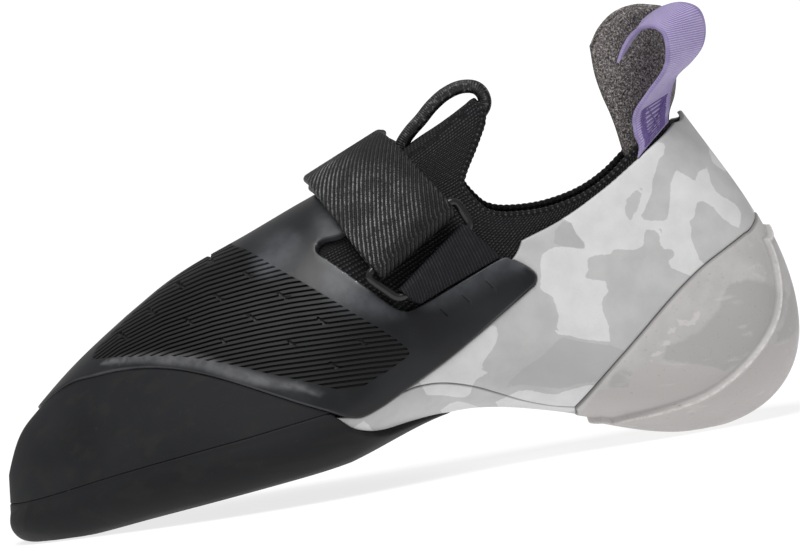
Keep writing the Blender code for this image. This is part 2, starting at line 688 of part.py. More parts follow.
STRAP_LOOK = material("strap", (0.035, 0.035, 0.040), 0.4)
RING_LOOK = material("ring", (0.020, 0.020, 0.022), 0.3)
TWILL = material("twill", (0.040, 0.038, 0.045), 0.8)
SUEDE = material("suede", (0.16, 0.145, 0.14), 0.95)
WEBBING = material("webbing", (0.36, 0.31, 0.52), 0.75)


def band(name, look, rows, wall):
    """A strip through rows of points, its wall half on each side."""
    wide = len(rows[0])
    faces = [
        (row * wide + i, row * wide + i + 1, (row + 1) * wide + i + 1, (row + 1) * wide + i)
        for row in range(len(rows) - 1)
        for i in range(wide - 1)
    ]
    thing = add(name, [point for row in rows for point in row], faces, look)
    thicken(thing, wall, 0)
    return thing


def ribbon(name, look, left, right, wall, columns):
    """A straight-sided band between two edge lines."""
    left, right = np.array(left), np.array(right)
    rows = [[a + (b - a) * i / columns for i in range(columns + 1)] for a, b in zip(left, right)]
    return band(name, look, rows, wall)


def strap_edge(t, edge):
    """Chart place on one edge of the strap: t is 0 at the ring, 1 on the ridge, 2 on the medial side."""
    ring, ridge = edge
    near = trace([ring])[0]
    return near[0] + (ridge - near[0]) * math.sin(math.pi * t / 2), near[1] + (1 - near[1]) * t


def strap_path():
    """Steps along the strap from its medial end, round the ring and back over itself: t and out."""
    low, half = STRAP_LIFT + STRAP_WALL / 2, STRAP_WALL / 2
    turn = RING_WIRE / 2 + GAP + half
    centre = low + turn
    path = []
    for t in (1.96, 1.88, 1.8, 1.7, 1.58, 1.45, 1.3, 1.15, 1.0, 0.85, 0.7, 0.55, 0.4, 0.25, 0.12, 0):
        drop = (STRAP_LIFT - STRAP_END_LIFT) * step_on(t, 1.62, 1.90)
        path.append((t, low - drop, 0))
    for turned in (30, 60, 90, 120, 150):
        angle = math.radians(turned)
        path.append((0, centre - turn * math.cos(angle), turn * math.sin(angle)))
    for t in (0, 0.12, 0.25, 0.4, 0.55, 0.7, 0.85, 1.0, 1.15, 1.3):
        above = (2 * turn - STRAP_WALL - 2 * GAP) * (1 - step_on(t, 0, 0.35))
        path.append((t, low + STRAP_WALL + 2 * GAP + above, 0))
    return path


def build_strap():
    """Hook-and-loop strap, folded round the upper bar of its ring."""
    edges = []
    for edge in STRAP_EDGES:
        line = []
        foot, above = (last(*strap_edge(t, edge))[0] for t in (0, 0.05))
        down = unit(foot - above)
        for t, out, beyond in strap_path():
            line.append(last(*strap_edge(t, edge), out)[0] + down * beyond)
        edges.append(line)
    return ribbon("strap", STRAP_LOOK, *edges, STRAP_WALL, 3)


def ring_places():
    """Ring corners: upper left, upper right, lower right, lower left."""
    high = STRAP_LIFT + STRAP_WALL + GAP + RING_WIRE / 2
    outs = high, high, RING_LOW, RING_LOW
    return [last(*trace([corner])[0], out)[0] for corner, out in zip(RING_CORNERS, outs)]


def build_ring():
    """Wire rectangle with round corners."""
    corners = ring_places()
    curve = bpy.data.curves.new("strap_ring", "CURVE")
    curve.dimensions = "3D"
    curve.bevel_depth = RING_WIRE / 2
    curve.bevel_resolution = 2
    curve.materials.append(RING_LOOK)
    points = []
    for i, corner in enumerate(corners):
        before = unit(corners[i - 1] - corner)
        after = unit(corners[(i + 1) % 4] - corner)
        for share in (0, 0.25, 0.5, 0.75, 1):
            reach = (1 - share) ** 2 * before + share**2 * after
            points.append(corner + RING_CORNER * reach)
    line = curve.splines.new("POLY")
    line.points.add(len(points) - 1)
    for place, point in zip(line.points, points):
        place.co = (*point, 1)
    line.use_cyclic_u = True
    thing = bpy.data.objects.new("strap_ring", curve)
    SHOE.objects.link(thing)
    return thing


def build_keeper():
    """Webbing folded round the lower bar of the ring, both ends against the arm of the patch."""
    upper_left, upper_right, lower_right, lower_left = KEEPER_CORNERS
    bars = ring_places()[3], ring_places()[2]
    turn = RING_WIRE / 2 + LAYER_GAP + KEEPER_WALL / 2
    edges = []
    for bar_end, arm_end in ((upper_left, lower_left), (upper_right, lower_right)):
        foot_u, foot_v = trace([arm_end])[0]
        inner = last(foot_u, foot_v, KEEPER_LIFT)[0]
        outer = last(foot_u, foot_v, KEEPER_LIFT + KEEPER_WALL + 2 * GAP)[0]
        near = last(*trace([bar_end])[0], 0)[0]
        along = unit(bars[1] - bars[0])
        centre = bars[0] + along * np.dot(near - bars[0], along)
        out = outward(*[np.array([value]) for value in trace([bar_end])[0]])[0]
        up = unit(np.cross(along, out))
        up = up if up[2] > 0 else -up
        line = [inner, inner * 0.6 + (centre - out * turn - up * turn) * 0.4]
        for turned in (0, 30, 60, 90, 120, 150, 180):
            angle = math.radians(turned)
            line.append(centre - out * turn * math.cos(angle) + up * turn * math.sin(angle))
        line.extend([outer * 0.4 + (centre + out * turn - up * turn) * 0.6, outer])
        edges.append(line)
    return ribbon("ring_keeper", TWILL, *edges, KEEPER_WALL, 3)


def build_tongue_loop():
    """Folded band that rises from the tongue and returns inside its tip."""
    line = smooth(TONGUE_LOOP, 2)
    ridge = SECTIONS[MIRRORED + TONGUE_STATION][5]
    left, right = (
        [(x * LENGTH - LENGTH / 2, ridge + side * TONGUE_LOOP_WIDTH / 2, z * HEIGHT) for x, z in line]
        for side in (-1, 1)
    )
    return ribbon("tongue_loop", STRAP_LOOK, left, right, TONGUE_LOOP_WALL, 2)


def build_heel_tab():
    """Suede tab, a U round the back of the heel that stands up from inside the collar."""
    table = smooth(HEEL_TAB, 2)
    low, high = HEEL_TAB[0][0], HEEL_TAB[-1][0]
    rows = []
    for height, front, back, half in table:
        row = []
        for way in np.linspace(-1, 1, 13):
            turn = way * math.pi / 2
            top = np.interp(abs(way), *TAB_TOP)
            x = front + (back - front) * math.cos(turn)
            z = low + (height - low) * (high * top - low) / (high - low)
            row.append((x * LENGTH - LENGTH / 2, half * math.sin(turn) * HEEL_WIDTH, z * HEIGHT))
        rows.append(row)
    return band("heel_tab", SUEDE, rows, TAB_WALL)


def build_heel_loop():
    """Webbing loop on the lateral side of the heel tab."""
    rows = smooth(HEEL_LOOP, 2)
    scale = np.array([LENGTH, HEIGHT, HEEL_WIDTH])
    left, right = (
        [(x - LENGTH / 2, y, z) for x, z, y in rows[:, at : at + 3] * scale] for at in (0, 3)
    )
    return ribbon("heel_loop", WEBBING, left, right, WEBBING_WALL, 3)


build_upper()
build_insole()
outsole = build_outsole()
build_rands()
build_patch()
build_sling()
build_arch()
heel = build_heel()
cut_flat(outsole, heel)
build_strap()
build_ring()
build_keeper()
build_tongue_loop()
build_heel_tab()
build_heel_loop()
centre()
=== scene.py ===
"""Looks of a climbing shoe: fine surfaces, knit, moulded rubber, camouflage, webbing and suede.

Metres, +Z up. The toe points to -X and the lateral side, which the camera sees, faces -Y.
Most surfaces follow the last, with chart places (u, v): u counts the sections from the toe tip, and v goes
round one section, 0 at the bottom or back, 1 at the ridge and 1 to 2, or 0 to -1, medially. The loops and
the heel tab have tables of their own.
"""

import math

import bpy
import numpy as np
from mathutils import Matrix, Vector, kdtree
from mathutils.geometry import delaunay_2d_cdt


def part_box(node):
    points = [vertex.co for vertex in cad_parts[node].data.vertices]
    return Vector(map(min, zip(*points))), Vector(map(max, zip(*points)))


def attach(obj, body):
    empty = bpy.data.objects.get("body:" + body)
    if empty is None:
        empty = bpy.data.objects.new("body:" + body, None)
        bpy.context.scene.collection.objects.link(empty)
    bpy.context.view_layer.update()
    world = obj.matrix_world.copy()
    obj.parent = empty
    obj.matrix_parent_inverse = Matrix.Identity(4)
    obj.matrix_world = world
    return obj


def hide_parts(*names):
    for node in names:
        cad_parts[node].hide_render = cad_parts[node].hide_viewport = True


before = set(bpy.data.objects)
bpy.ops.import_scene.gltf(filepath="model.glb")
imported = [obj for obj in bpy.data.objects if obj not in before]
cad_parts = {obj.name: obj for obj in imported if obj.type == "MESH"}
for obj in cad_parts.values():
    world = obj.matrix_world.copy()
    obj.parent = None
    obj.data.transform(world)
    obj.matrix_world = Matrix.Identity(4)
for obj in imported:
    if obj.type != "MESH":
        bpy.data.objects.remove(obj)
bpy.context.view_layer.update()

MM = 0.001

# Sizes of the last, its walls and its clearances, as in the model
LENGTH = 0.254
HEIGHT = 0.100
BALL_WIDTH = 0.088
HEEL_WIDTH = 0.058
GAP = 0.0003
LAYER_GAP = 0.0004
UPPER_WALL = 0.0020
RAND_WALL = 0.0015
PATCH_WALL = 0.0023
HEEL_CUP_WALL = 0.0019
HEEL_CAP_WALL = 0.0032
SOLE_WALL = 0.0049
SOLE_EDGE_WALL = 0.0016
STRAP_WALL = 0.0025
STRAP_LIFT = 0.0037
STRAP_END_LIFT = 0.0008
RING_WIRE = 0.0028
RING_CORNER = 0.0030
KEEPER_WALL = 0.0011
KEEPER_LIFT = 0.0006
RING_LOW = 0.0052
TONGUE_LOOP_WIDTH = 0.0066
TONGUE_LOOP_WALL = 0.0042
TAB_WALL = 0.0024
WEBBING_WALL = 0.0013

# Sections of the last from the toe tip to the waist. Lengths are shares of LENGTH from the toe,
# heights shares of HEIGHT, and the rest shares of BALL_WIDTH, positive towards the medial side.
#   bottom x, z    ridge x, z      axis y  ridge y  lateral  medial
FOREFOOT = (
    (0.010, 0.085, 0.016, 0.210, 0.215, 0.215, 0.000, 0.000),
    (0.020, 0.059, 0.033, 0.305, 0.205, 0.215, 0.105, 0.095),
    (0.047, 0.047, 0.063, 0.385, 0.170, 0.215, 0.190, 0.180),
    (0.094, 0.048, 0.114, 0.490, 0.122, 0.210, 0.255, 0.265),
    (0.165, 0.069, 0.185, 0.610, 0.068, 0.190, 0.350, 0.370),
    (0.248, 0.092, 0.262, 0.720, 0.022, 0.160, 0.425, 0.435),
    (0.339, 0.116, 0.343, 0.798, 0.000, 0.115, 0.475, 0.450),
    (0.425, 0.143, 0.417, 0.870, -0.022, 0.075, 0.460, 0.425),
    (0.504, 0.187, 0.484, 0.932, -0.028, 0.045, 0.415, 0.375),
    (0.579, 0.206, 0.539, 0.994, -0.022, 0.028, 0.370, 0.335),
)

# Sections from the waist round the heel to the collar. Widths are shares of HEEL_WIDTH.
REARFOOT = (
    (0.654, 0.172, 0.580, 1.044, -0.018, 0.024, 0.515, 0.470),
    (0.728, 0.114, 0.601, 1.067, 0.000, 0.017, 0.505, 0.465),
    (0.803, 0.050, 0.616, 1.085, 0.000, 0.010, 0.500, 0.475),
    (0.874, 0.030, 0.627, 1.099, 0.000, 0.000, 0.500, 0.485),
    (0.937, 0.076, 0.635, 1.110, 0.000, 0.000, 0.490, 0.485),
    (0.976, 0.185, 0.641, 1.118, 0.000, 0.000, 0.480, 0.475),
    (0.987, 0.330, 0.645, 1.124, 0.000, 0.000, 0.460, 0.455),
    (0.979, 0.490, 0.648, 1.129, 0.000, 0.000, 0.435, 0.430),
    (0.957, 0.660, 0.651, 1.132, 0.000, 0.000, 0.405, 0.405),
    (0.926, 0.825, 0.653, 1.135, 0.000, 0.000, 0.380, 0.380),
    (0.893, 0.990, 0.655, 1.138, 0.000, 0.000, 0.360, 0.360),
)

# Roundness of a half section at some stations u: corners of its control line, across as shares of
# the half width and up as shares of the section's height.
#   u   flat   low, edge   wide   shoulder, high   crown
ROUNDNESS = (
    (0, 0.70, 1.00, 0.20, 0.48, 0.88, 0.86, 0.55),
    (2, 0.74, 1.04, 0.13, 0.40, 0.88, 0.80, 0.50),
    (4, 0.78, 1.06, 0.08, 0.34, 0.90, 0.72, 0.46),
    (6, 0.78, 1.06, 0.06, 0.30, 0.88, 0.62, 0.44),
    (8, 0.66, 1.02, 0.09, 0.36, 0.90, 0.64, 0.46),
    (10, 0.52, 0.96, 0.12, 0.40, 0.92, 0.68, 0.48),
    (12, 0.55, 1.00, 0.09, 0.30, 0.84, 0.70, 0.46),
    (14, 0.55, 1.00, 0.10, 0.29, 0.82, 0.70, 0.44),
    (16, 0.58, 1.00, 0.12, 0.32, 0.80, 0.72, 0.44),
    (18, 0.58, 1.00, 0.15, 0.40, 0.84, 0.76, 0.46),
    (20, 0.58, 1.00, 0.21, 0.52, 0.90, 0.82, 0.50),
)

STATIONS = len(FOREFOOT) + len(REARFOOT) - 1
MIRRORED = 3
NOSE = 0.35

# Outlines on the lateral side, as shares of LENGTH from the toe and of HEIGHT above the floor. The collar's
# end and the cut-out's corner lie 1 to 2 mm off the model's, because they follow the photograph closely.
COLLAR = (
    (0.658, 1.115), (0.659, 1.085), (0.655, 1.050), (0.640, 0.985), (0.624, 0.917), (0.621, 0.880),
    (0.635, 0.819), (0.648, 0.787), (0.672, 0.768), (0.715, 0.762), (0.760, 0.782), (0.798, 0.825),
    (0.835, 0.893), (0.868, 0.950),
)
SOLE_LINE = (
    (-0.01, 0.122), (0.031, 0.130), (0.074, 0.145), (0.136, 0.172), (0.188, 0.192), (0.254, 0.214),
    (0.312, 0.232), (0.363, 0.250), (0.415, 0.268),
)
PATCH_NOSE = ((2.05, 1), (2.18, 0.94), (2.60, 0.86), (3.26, 0.765))
PATCH_EDGE = (
    (0.129, 0.469), (0.167, 0.481), (0.205, 0.480), (0.241, 0.464), (0.276, 0.435), (0.311, 0.397),
    (0.346, 0.353), (0.380, 0.309), (0.415, 0.268),
)
ARM_FRONT = ((0.431, 0.248), (0.450, 0.243), (0.476, 0.264), (0.502, 0.293))
ARM_LOWER = ((0.502, 0.293), (0.558, 0.358), (0.599, 0.413), (0.641, 0.474), (0.687, 0.542))
ARM_END = ((0.687, 0.542), (0.690, 0.567), (0.681, 0.596), (0.664, 0.628))
ARM_UPPER = ((0.664, 0.628), (0.652, 0.637), (0.613, 0.604), (0.573, 0.566), (0.546, 0.541), (0.528, 0.529))
CUT_OUT = ((0.528, 0.529), (0.512, 0.548), (0.485, 0.618), (0.449, 0.708), (0.435, 0.740), (0.434, 0.758))
CUT_TOP = ((0.434, 0.758), (0.443, 0.776), (0.470, 0.788), (0.497, 0.856), (0.515, 0.930))
SLING_TOP = ((0.886, 0.952), (0.872, 0.924), (0.844, 0.879), (0.788, 0.792), (0.733, 0.724), (0.680, 0.681))
HEEL_CREASE = (
    (0.712, 0.155), (0.746, 0.220), (0.777, 0.280), (0.806, 0.339), (0.836, 0.402), (0.865, 0.459),
    (0.893, 0.507), (0.921, 0.545), (0.948, 0.580),
)

# The raised cap's edge where it shows in the photograph, charted on its pixels
CAP_PIXELS = (
    (608, 421), (626, 415), (664, 405), (700, 392), (724, 377), (745, 358), (762, 337), (774, 314),
    (778, 288), (774, 258), (766, 236),
)

ARCH_CREASE = (
    (0.502, 0.293), (0.523, 0.303), (0.554, 0.300), (0.590, 0.275), (0.624, 0.236), (0.652, 0.202),
    (0.684, 0.172), (0.712, 0.155),
)

# Each edge of the strap: its place at the ring, as shares of LENGTH and HEIGHT, and u on the ridge
STRAP_EDGES = (((0.498, 0.648), 7.35), ((0.599, 0.808), 9.20))
RING_CORNERS = ((0.4880, 0.632), (0.6060, 0.822), (0.6215, 0.741), (0.5200, 0.560))
KEEPER_CORNERS = ((0.5280, 0.563), (0.6190, 0.727), (0.6510, 0.642), (0.5440, 0.548))

# Pull loop on the tongue: its middle line in side view, from the knit under the strap up and round
TONGUE_LOOP = (
    (0.5540, 1.016), (0.5600, 1.040), (0.5710, 1.068), (0.5850, 1.096), (0.6012, 1.132), (0.6195, 1.161),
    (0.6390, 1.175), (0.6565, 1.168), (0.6655, 1.142), (0.6650, 1.104), (0.6490, 1.066), (0.6290, 1.043),
)

# Heel tab: height, front and back of its U, as shares of HEIGHT and LENGTH, and half width of HEEL_WIDTH
HEEL_TAB = (
    (0.870, 0.824, 0.878, 0.290), (0.980, 0.820, 0.882, 0.300), (1.050, 0.816, 0.894, 0.312),
    (1.130, 0.810, 0.901, 0.325), (1.220, 0.806, 0.903, 0.330), (1.330, 0.806, 0.902, 0.330),
)
TAB_TOP = ((0, 0.30, 0.55, 0.75, 0.90, 1), (0.986, 0.993, 1.0, 0.990, 0.960, 0.920))

# Webbing loop at the heel: near edge and far edge, each as x, z, y, shares of LENGTH, HEIGHT, HEEL_WIDTH
HEEL_LOOP = (
    (0.838, 0.872, -0.432, 0.883, 0.962, -0.305),
    (0.842, 0.905, -0.418, 0.884, 0.985, -0.292), (0.839, 0.945, -0.420, 0.888, 1.012, -0.292),
    (0.842, 1.005, -0.430, 0.893, 1.055, -0.285), (0.863, 1.065, -0.462, 0.904, 1.104, -0.272),
    (0.886, 1.125, -0.497, 0.924, 1.139, -0.275), (0.894, 1.178, -0.507, 0.941, 1.182, -0.310),
    (0.894, 1.235, -0.492, 0.948, 1.240, -0.338), (0.884, 1.263, -0.465, 0.944, 1.295, -0.370),
    (0.868, 1.266, -0.432, 0.927, 1.322, -0.364), (0.852, 1.242, -0.403, 0.906, 1.322, -0.340),
    (0.840, 1.202, -0.390, 0.888, 1.308, -0.325), (0.834, 1.173, -0.385, 0.873, 1.288, -0.322),
)

# Places on the chart of the last, and how the sole's wall thins: its bevel and its fade in chart steps, and
# the share that is left at the nose
SOLE_TAIL = (
    (6.89, 0.400), (7.02, 0.360), (7.20, 0.310), (7.60, 0.240), (8.10, 0.195), (8.60, 0.130), (8.80, 0),
)
SOLE_BEVEL = 0.17
SOLE_FADE = 1.8
SOLE_NOSE = 0.20
ARCH_END = 10.75
CAP_FRONT = ((11.0, 0), (11.02, 0.09), (11.25, 0.16))
CAP_BACK = ((17.46, 0.035), (17.50, 0))
CREASE_BACK = ((17.20, 0.271), (17.55, 0.180), (17.75, 0.090), (17.80, 0))
SLING_BACK = 19.93
PATCH_BACK = 8.95
TONGUE_STATION = 15
UPPER_OPENING = (1.6, 8.4, 0.105)
ARCH_SIDE_FROM = 6.94
ARCH_ARM_FROM = 6.98

# Steps of the search for a place that shows at a given pixel, and the share of the miss that each takes
SEEN_TRIES = 4
SEEN_STEP = 0.8

# Meshes: rings of points at these shares of a rounded edge, parts of an outline's step that distances are
# measured to, and the share of the wall that an edge drops at most. Then the space that other points leave
# round drawn lines and the least step of an outline, both in lattice cells, the distance in metres that joins
# points, the angle of sharp edges, and the steps of a sheet's grid across it
RIM_RINGS = (0.12, 0.35, 0.65, 1.0)
RIM_PARTS = (0, 0.25, 0.5, 0.75)
RIM_DROP = 0.8
CELL_CLEAR = 0.35
LEAST_STEP = 0.2
WELD = 2e-6
SHARP_ANGLE = math.radians(50)
SHEET_STEP = 0.5 * MM
STRAP_STEP = 0.33 * MM

# The photograph: metres a pixel at the shoe, the shoe's tilt, one pixel and the place in side view that it
# shows, and the picture's size
PIXEL = 0.0003121
TILT = math.radians(10.03)
TOE_PIXEL = (4, 541)
TOE_PLACE = (-0.0023, 0.00275)
PICTURE = (800, 549)


def side_view(pixels):
    """Lengths behind the toe and heights above the floor, in metres, of places charted in the photograph."""
    pixels = np.array(pixels, float)
    across = pixels[:, 0] - TOE_PIXEL[0]
    up = TOE_PIXEL[1] - pixels[:, 1]
    x = PIXEL * (across * math.cos(TILT) + up * math.sin(TILT)) + TOE_PLACE[0]
    z = PIXEL * (up * math.cos(TILT) - across * math.sin(TILT)) + TOE_PLACE[1]
    return np.stack([x, z], axis=1)


def side_places(points):
    """Lengths behind the toe and heights above the floor, in metres, of points of the last."""
    return points[:, [0, 2]] + [LENGTH / 2, 0]


def lengths_along(line):
    """Length along a line at each of its points."""
    return np.concatenate([[0], np.cumsum(np.linalg.norm(np.diff(line, axis=0), axis=1))])


def tree_of(points):
    """Search tree of points."""
    tree = kdtree.KDTree(len(points))
    for i, place in enumerate(points):
        tree.insert(place, i)
    tree.balance()
    return tree


def distances(tree, points):
    """Distance from each point to the nearest one in a search tree."""
    return np.array([tree.find(place)[2] for place in points])


def cubic_through(at, values):
    """Second derivatives at each knot of the natural cubic spline through these values."""
    count = len(at)
    step = np.diff(at)
    matrix = np.eye(count)
    right = np.zeros((count, values.shape[1]))
    for i in range(1, count - 1):
        matrix[i, i - 1 : i + 2] = step[i - 1] / 6, (step[i - 1] + step[i]) / 3, step[i] / 6
        right[i] = (values[i + 1] - values[i]) / step[i] - (values[i] - values[i - 1]) / step[i - 1]
    return np.linalg.solve(matrix, right)


def on_cubic(at, values, bends, x):
    """Values of that spline at each x."""
    x = np.atleast_1d(np.asarray(x, float))
    k = np.clip(np.searchsorted(at, x) - 1, 0, len(at) - 2)
    h = (at[k + 1] - at[k])[:, None]
    b = ((x - at[k]) / h[:, 0])[:, None]
    a = 1 - b
    bent = (a**3 - a) * bends[k] + (b**3 - b) * bends[k + 1]
    return a * values[k] + b * values[k + 1] + bent * h * h / 6


def section_table():
    """All sections in metres, with the first few mirrored in front of the toe tip."""
    rows = []
    for table, width in ((FOREFOOT, BALL_WIDTH), (REARFOOT, HEEL_WIDTH)):
        for x0, z0, x1, z1, *across in table:
            rows.append([x0 * LENGTH, z0 * HEIGHT, x1 * LENGTH, z1 * HEIGHT, *np.multiply(across, width)])
    rows = np.array(rows)
    rows[:, [0, 2]] -= LENGTH / 2
    front = rows[MIRRORED:0:-1].copy()
    front[:, 6:] *= -1
    return np.arange(-MIRRORED, STATIONS + 1.0), np.vstack([front, rows])


def roundness_table():
    """The roundness table with its second row mirrored in front of the toe tip."""
    table = np.array(ROUNDNESS)
    front = table[1:2].copy()
    front[:, 0] *= -1
    table = np.vstack([front, table])
    return table[:, 0], table[:, 1:]


SECTION_AT, SECTIONS = section_table()
SECTION_BENDS = cubic_through(SECTION_AT, SECTIONS)
ROUND_AT, ROUNDS = roundness_table()
ROUND_BENDS = cubic_through(ROUND_AT, ROUNDS)


def refined(lines, parts):
    """The lines with each step cut into equal parts."""
    count = (len(lines) - 1) * parts + 1
    return np.interp(np.linspace(0, len(lines) - 1, count), np.arange(len(lines)), lines)


# Lattices that the surfaces follow: steps of u and v, fine for what the eye is near to
U_LINES = np.concatenate([np.arange(0, 3, 0.375), np.linspace(3, STATIONS, 32)])
FINE = refined(U_LINES, 7), np.linspace(-2, 2, 321)
COARSE = refined(U_LINES, 4), np.linspace(-2, 2, 161)


def step_on(value, low, high):
    """Smooth step from 0 at low to 1 at high."""
    share = np.clip((value - low) / (high - low), 0, 1)
    return share * share * (3 - 2 * share)


def ring_weights(v):
    """Four corners of the twelve round a section that count at v, and their weights."""
    at = np.mod(v, 2) * 6
    k = np.floor(at).astype(int)
    f = at - k
    weights = np.stack([(1 - f) ** 3, 3 * f**3 - 6 * f**2 + 4, -3 * f**3 + 3 * f**2 + 3 * f + 1, f**3]) / 6
    return (k + np.arange(-1, 3)[:, None]) % 12, weights


def base(u, v):
    """Points of the last at the chart places u, v."""
    u, v = np.broadcast_arrays(np.atleast_1d(np.asarray(u, float)), np.atleast_1d(np.asarray(v, float)))
    bx, bz, tx, tz, axis, ridge, lateral, medial = on_cubic(SECTION_AT, SECTIONS, SECTION_BENDS, u).T
    flat, edge, low, wide, shoulder, high, crown = on_cubic(ROUND_AT, ROUNDS, ROUND_BENDS, u).T
    none, full = np.zeros_like(u), np.ones_like(u)
    out = np.stack([none, flat, edge, full, shoulder, crown, none]) * 6 / (edge + 4 + shoulder)
    up = np.stack([none, none, low, wide, high, full, full])
    across = np.concatenate([-out * lateral, out[5:0:-1] * medial])
    up = np.concatenate([up, up[5:0:-1]])
    corners, weights = ring_weights(v)
    here = np.arange(len(u))
    rise = sum(w * up[k, here] for k, w in zip(corners, weights))
    side = sum(w * across[k, here] for k, w in zip(corners, weights))
    x = bx + (tx - bx) * rise
    y = axis + (ridge - axis) * rise + side
    z = bz + (tz - bz) * rise
    return np.stack([x, y, z], axis=1)


def slope(u, v):
    """Steps along u and along v."""
    e = 1e-3
    return (base(u + e, v) - base(u - e, v)) / (2 * e), (base(u, v + e) - base(u, v - e)) / (2 * e)


def unit(vectors):
    """The vectors at length 1."""
    return vectors / np.maximum(np.linalg.norm(vectors, axis=-1, keepdims=True), 1e-9)


def outward(u, v):
    """Outward directions, blended between the two sides at the nose, where the sections close."""
    far = np.maximum(u, NOSE)
    here = unit(np.cross(*slope(far, v)))
    other = unit(np.cross(*slope(far, -v)))
    share = np.clip((1 + u / NOSE) / 2, 0, 1)[:, None]
    return unit(share * here + (1 - share) * other)


def last(u, v, out=0.0):
    """Points at a distance out from the last."""
    u, v = np.broadcast_arrays(np.atleast_1d(np.asarray(u, float)), np.atleast_1d(np.asarray(v, float)))
    return base(u, v) + np.atleast_1d(out)[:, None] * outward(u, v)


def centring():
    """Shift between the last's own frame and the frame of the model, which is centred on the origin."""
    us, vs = np.meshgrid(np.linspace(0, 10, 81), np.linspace(-1, 1, 161))
    widest = base(us.ravel(), vs.ravel())
    low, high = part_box("upper")
    middle = (widest[:, 1].min() + widest[:, 1].max()) / 2
    return np.array([low[0] - widest[:, 0].min(), (low[1] + high[1]) / 2 - middle, 0])


SHIFT = centring()


def on_side(x, z):
    """Chart places of lateral points at x behind the toe and z above the floor."""
    us = np.linspace(0, STATIONS, 801)
    bx, bz, tx, tz = on_cubic(SECTION_AT, SECTIONS, SECTION_BENDS, us)[:, :4].T
    vs = np.linspace(0, 1, 121)
    places = []
    for px, pz in zip(np.asarray(x) - LENGTH / 2, z):
        behind = (px - bx) * (tz - bz) - (pz - bz) * (tx - bx)
        k = int(np.argmax(behind < 0)) if (behind < 0).any() else len(us) - 1
        u = us[k] if k == 0 else us[k - 1] + (us[k] - us[k - 1]) * behind[k - 1] / (behind[k - 1] - behind[k])
        line = base(np.full(len(vs), u), vs)[:, [0, 2]]
        reach = line[-1] - line[0]
        rise = np.clip(np.dot([px, pz] - line[0], reach) / np.dot(reach, reach), 0, 1)
        rises = np.maximum.accumulate((line - line[0]) @ reach / np.dot(reach, reach))
        places.append((u, float(np.interp(rise, rises, vs))))
    return places


def smooth(points, steps):
    """Points along a smooth curve that passes through these."""
    points = np.array(points, float)
    if len(points) < 3:
        return points
    p = np.concatenate([[2 * points[0] - points[1]], points, [2 * points[-1] - points[-2]]])
    t = np.linspace(0, 1, steps, endpoint=False).reshape(-1, *[1] * (points.ndim - 1))
    line = []
    for a, b, c, d in zip(p, p[1:], p[2:], p[3:]):
        bend, twist = 2 * a - 5 * b + 4 * c - d, 3 * b - a - 3 * c + d
        line.append(0.5 * (2 * b + (c - a) * t + bend * t**2 + twist * t**3))
    return np.concatenate([*line, points[-1:]])


def seen_places(pixels, out):
    """Chart places of a surface at a distance out from the last, from where it shows in the photograph."""
    aim = side_view(pixels)
    spots = aim.copy()
    for _ in range(SEEN_TRIES):
        chart = on_side(spots[:, 0], spots[:, 1])
        shown = side_places(last([u for u, _ in chart], [v for _, v in chart], out))
        spots = spots + SEEN_STEP * (aim - shown)
    return chart


def trace(table, steps=8):
    """Chart line of one outline table."""
    line = smooth(table, steps)
    return on_side(line[:, 0] * LENGTH, line[:, 1] * HEIGHT)


def chart_curve(table):
    """Smooth line through chart places."""
    return [tuple(place) for place in smooth(table, 8)]


def mirrored(path, about=0):
    """The same path on the medial side, walked backwards."""
    return [(u, 2 * about - v) for u, v in reversed(path)]


def both_sides(half, about=0):
    """A closed outline from its lateral half."""
    return [*half, *mirrored(half, about)[1:-1]]


def to_lattice(net, chart):
    """Places on the lattice, in cells, of chart places."""
    chart = np.asarray(chart, float)
    return np.stack([np.interp(chart[:, k], net[k], np.arange(len(net[k]))) for k in range(2)], axis=1)


def from_lattice(net, places):
    """Chart places of places on the lattice."""
    return np.stack([np.interp(places[:, k], np.arange(len(net[k])), net[k]) for k in range(2)], axis=1)


def area(loop):
    """Area of a closed loop, positive where it runs anticlockwise."""
    after = np.roll(loop, -1, axis=0)
    return float(np.sum(loop[:, 0] * after[:, 1] - after[:, 0] * loop[:, 1])) / 2


def divided(net, loop):
    """The loop, anticlockwise on the lattice, with no step longer than one of its cells."""
    loop = to_lattice(net, loop)
    if area(loop) < 0:
        loop = loop[::-1]
    kept = [loop[0]]
    for place in loop[1:]:
        if min(np.linalg.norm(place - kept[-1]), np.linalg.norm(place - kept[0])) > LEAST_STEP:
            kept.append(place)
    points = []
    for a, b in zip(kept, kept[1:] + kept[:1]):
        count = max(1, math.ceil(np.linalg.norm(b - a) - 0.001))
        points.extend(a + (b - a) * i / count for i in range(count))
    points = np.array(points)
    chart = from_lattice(net, points)
    on_fold = (chart[:, 0] == 0) & (np.abs(chart[:, 1]) < 0.01)
    return points[~on_fold]


def on_seam(chart):
    """Which chart places lie on the nose or on the ridge, where a chart is cut open."""
    return (chart[:, 0] == 0) | np.isclose(np.abs(chart[:, 1]), 1, atol=1e-6) & (chart[:, 1] < 1.0001)


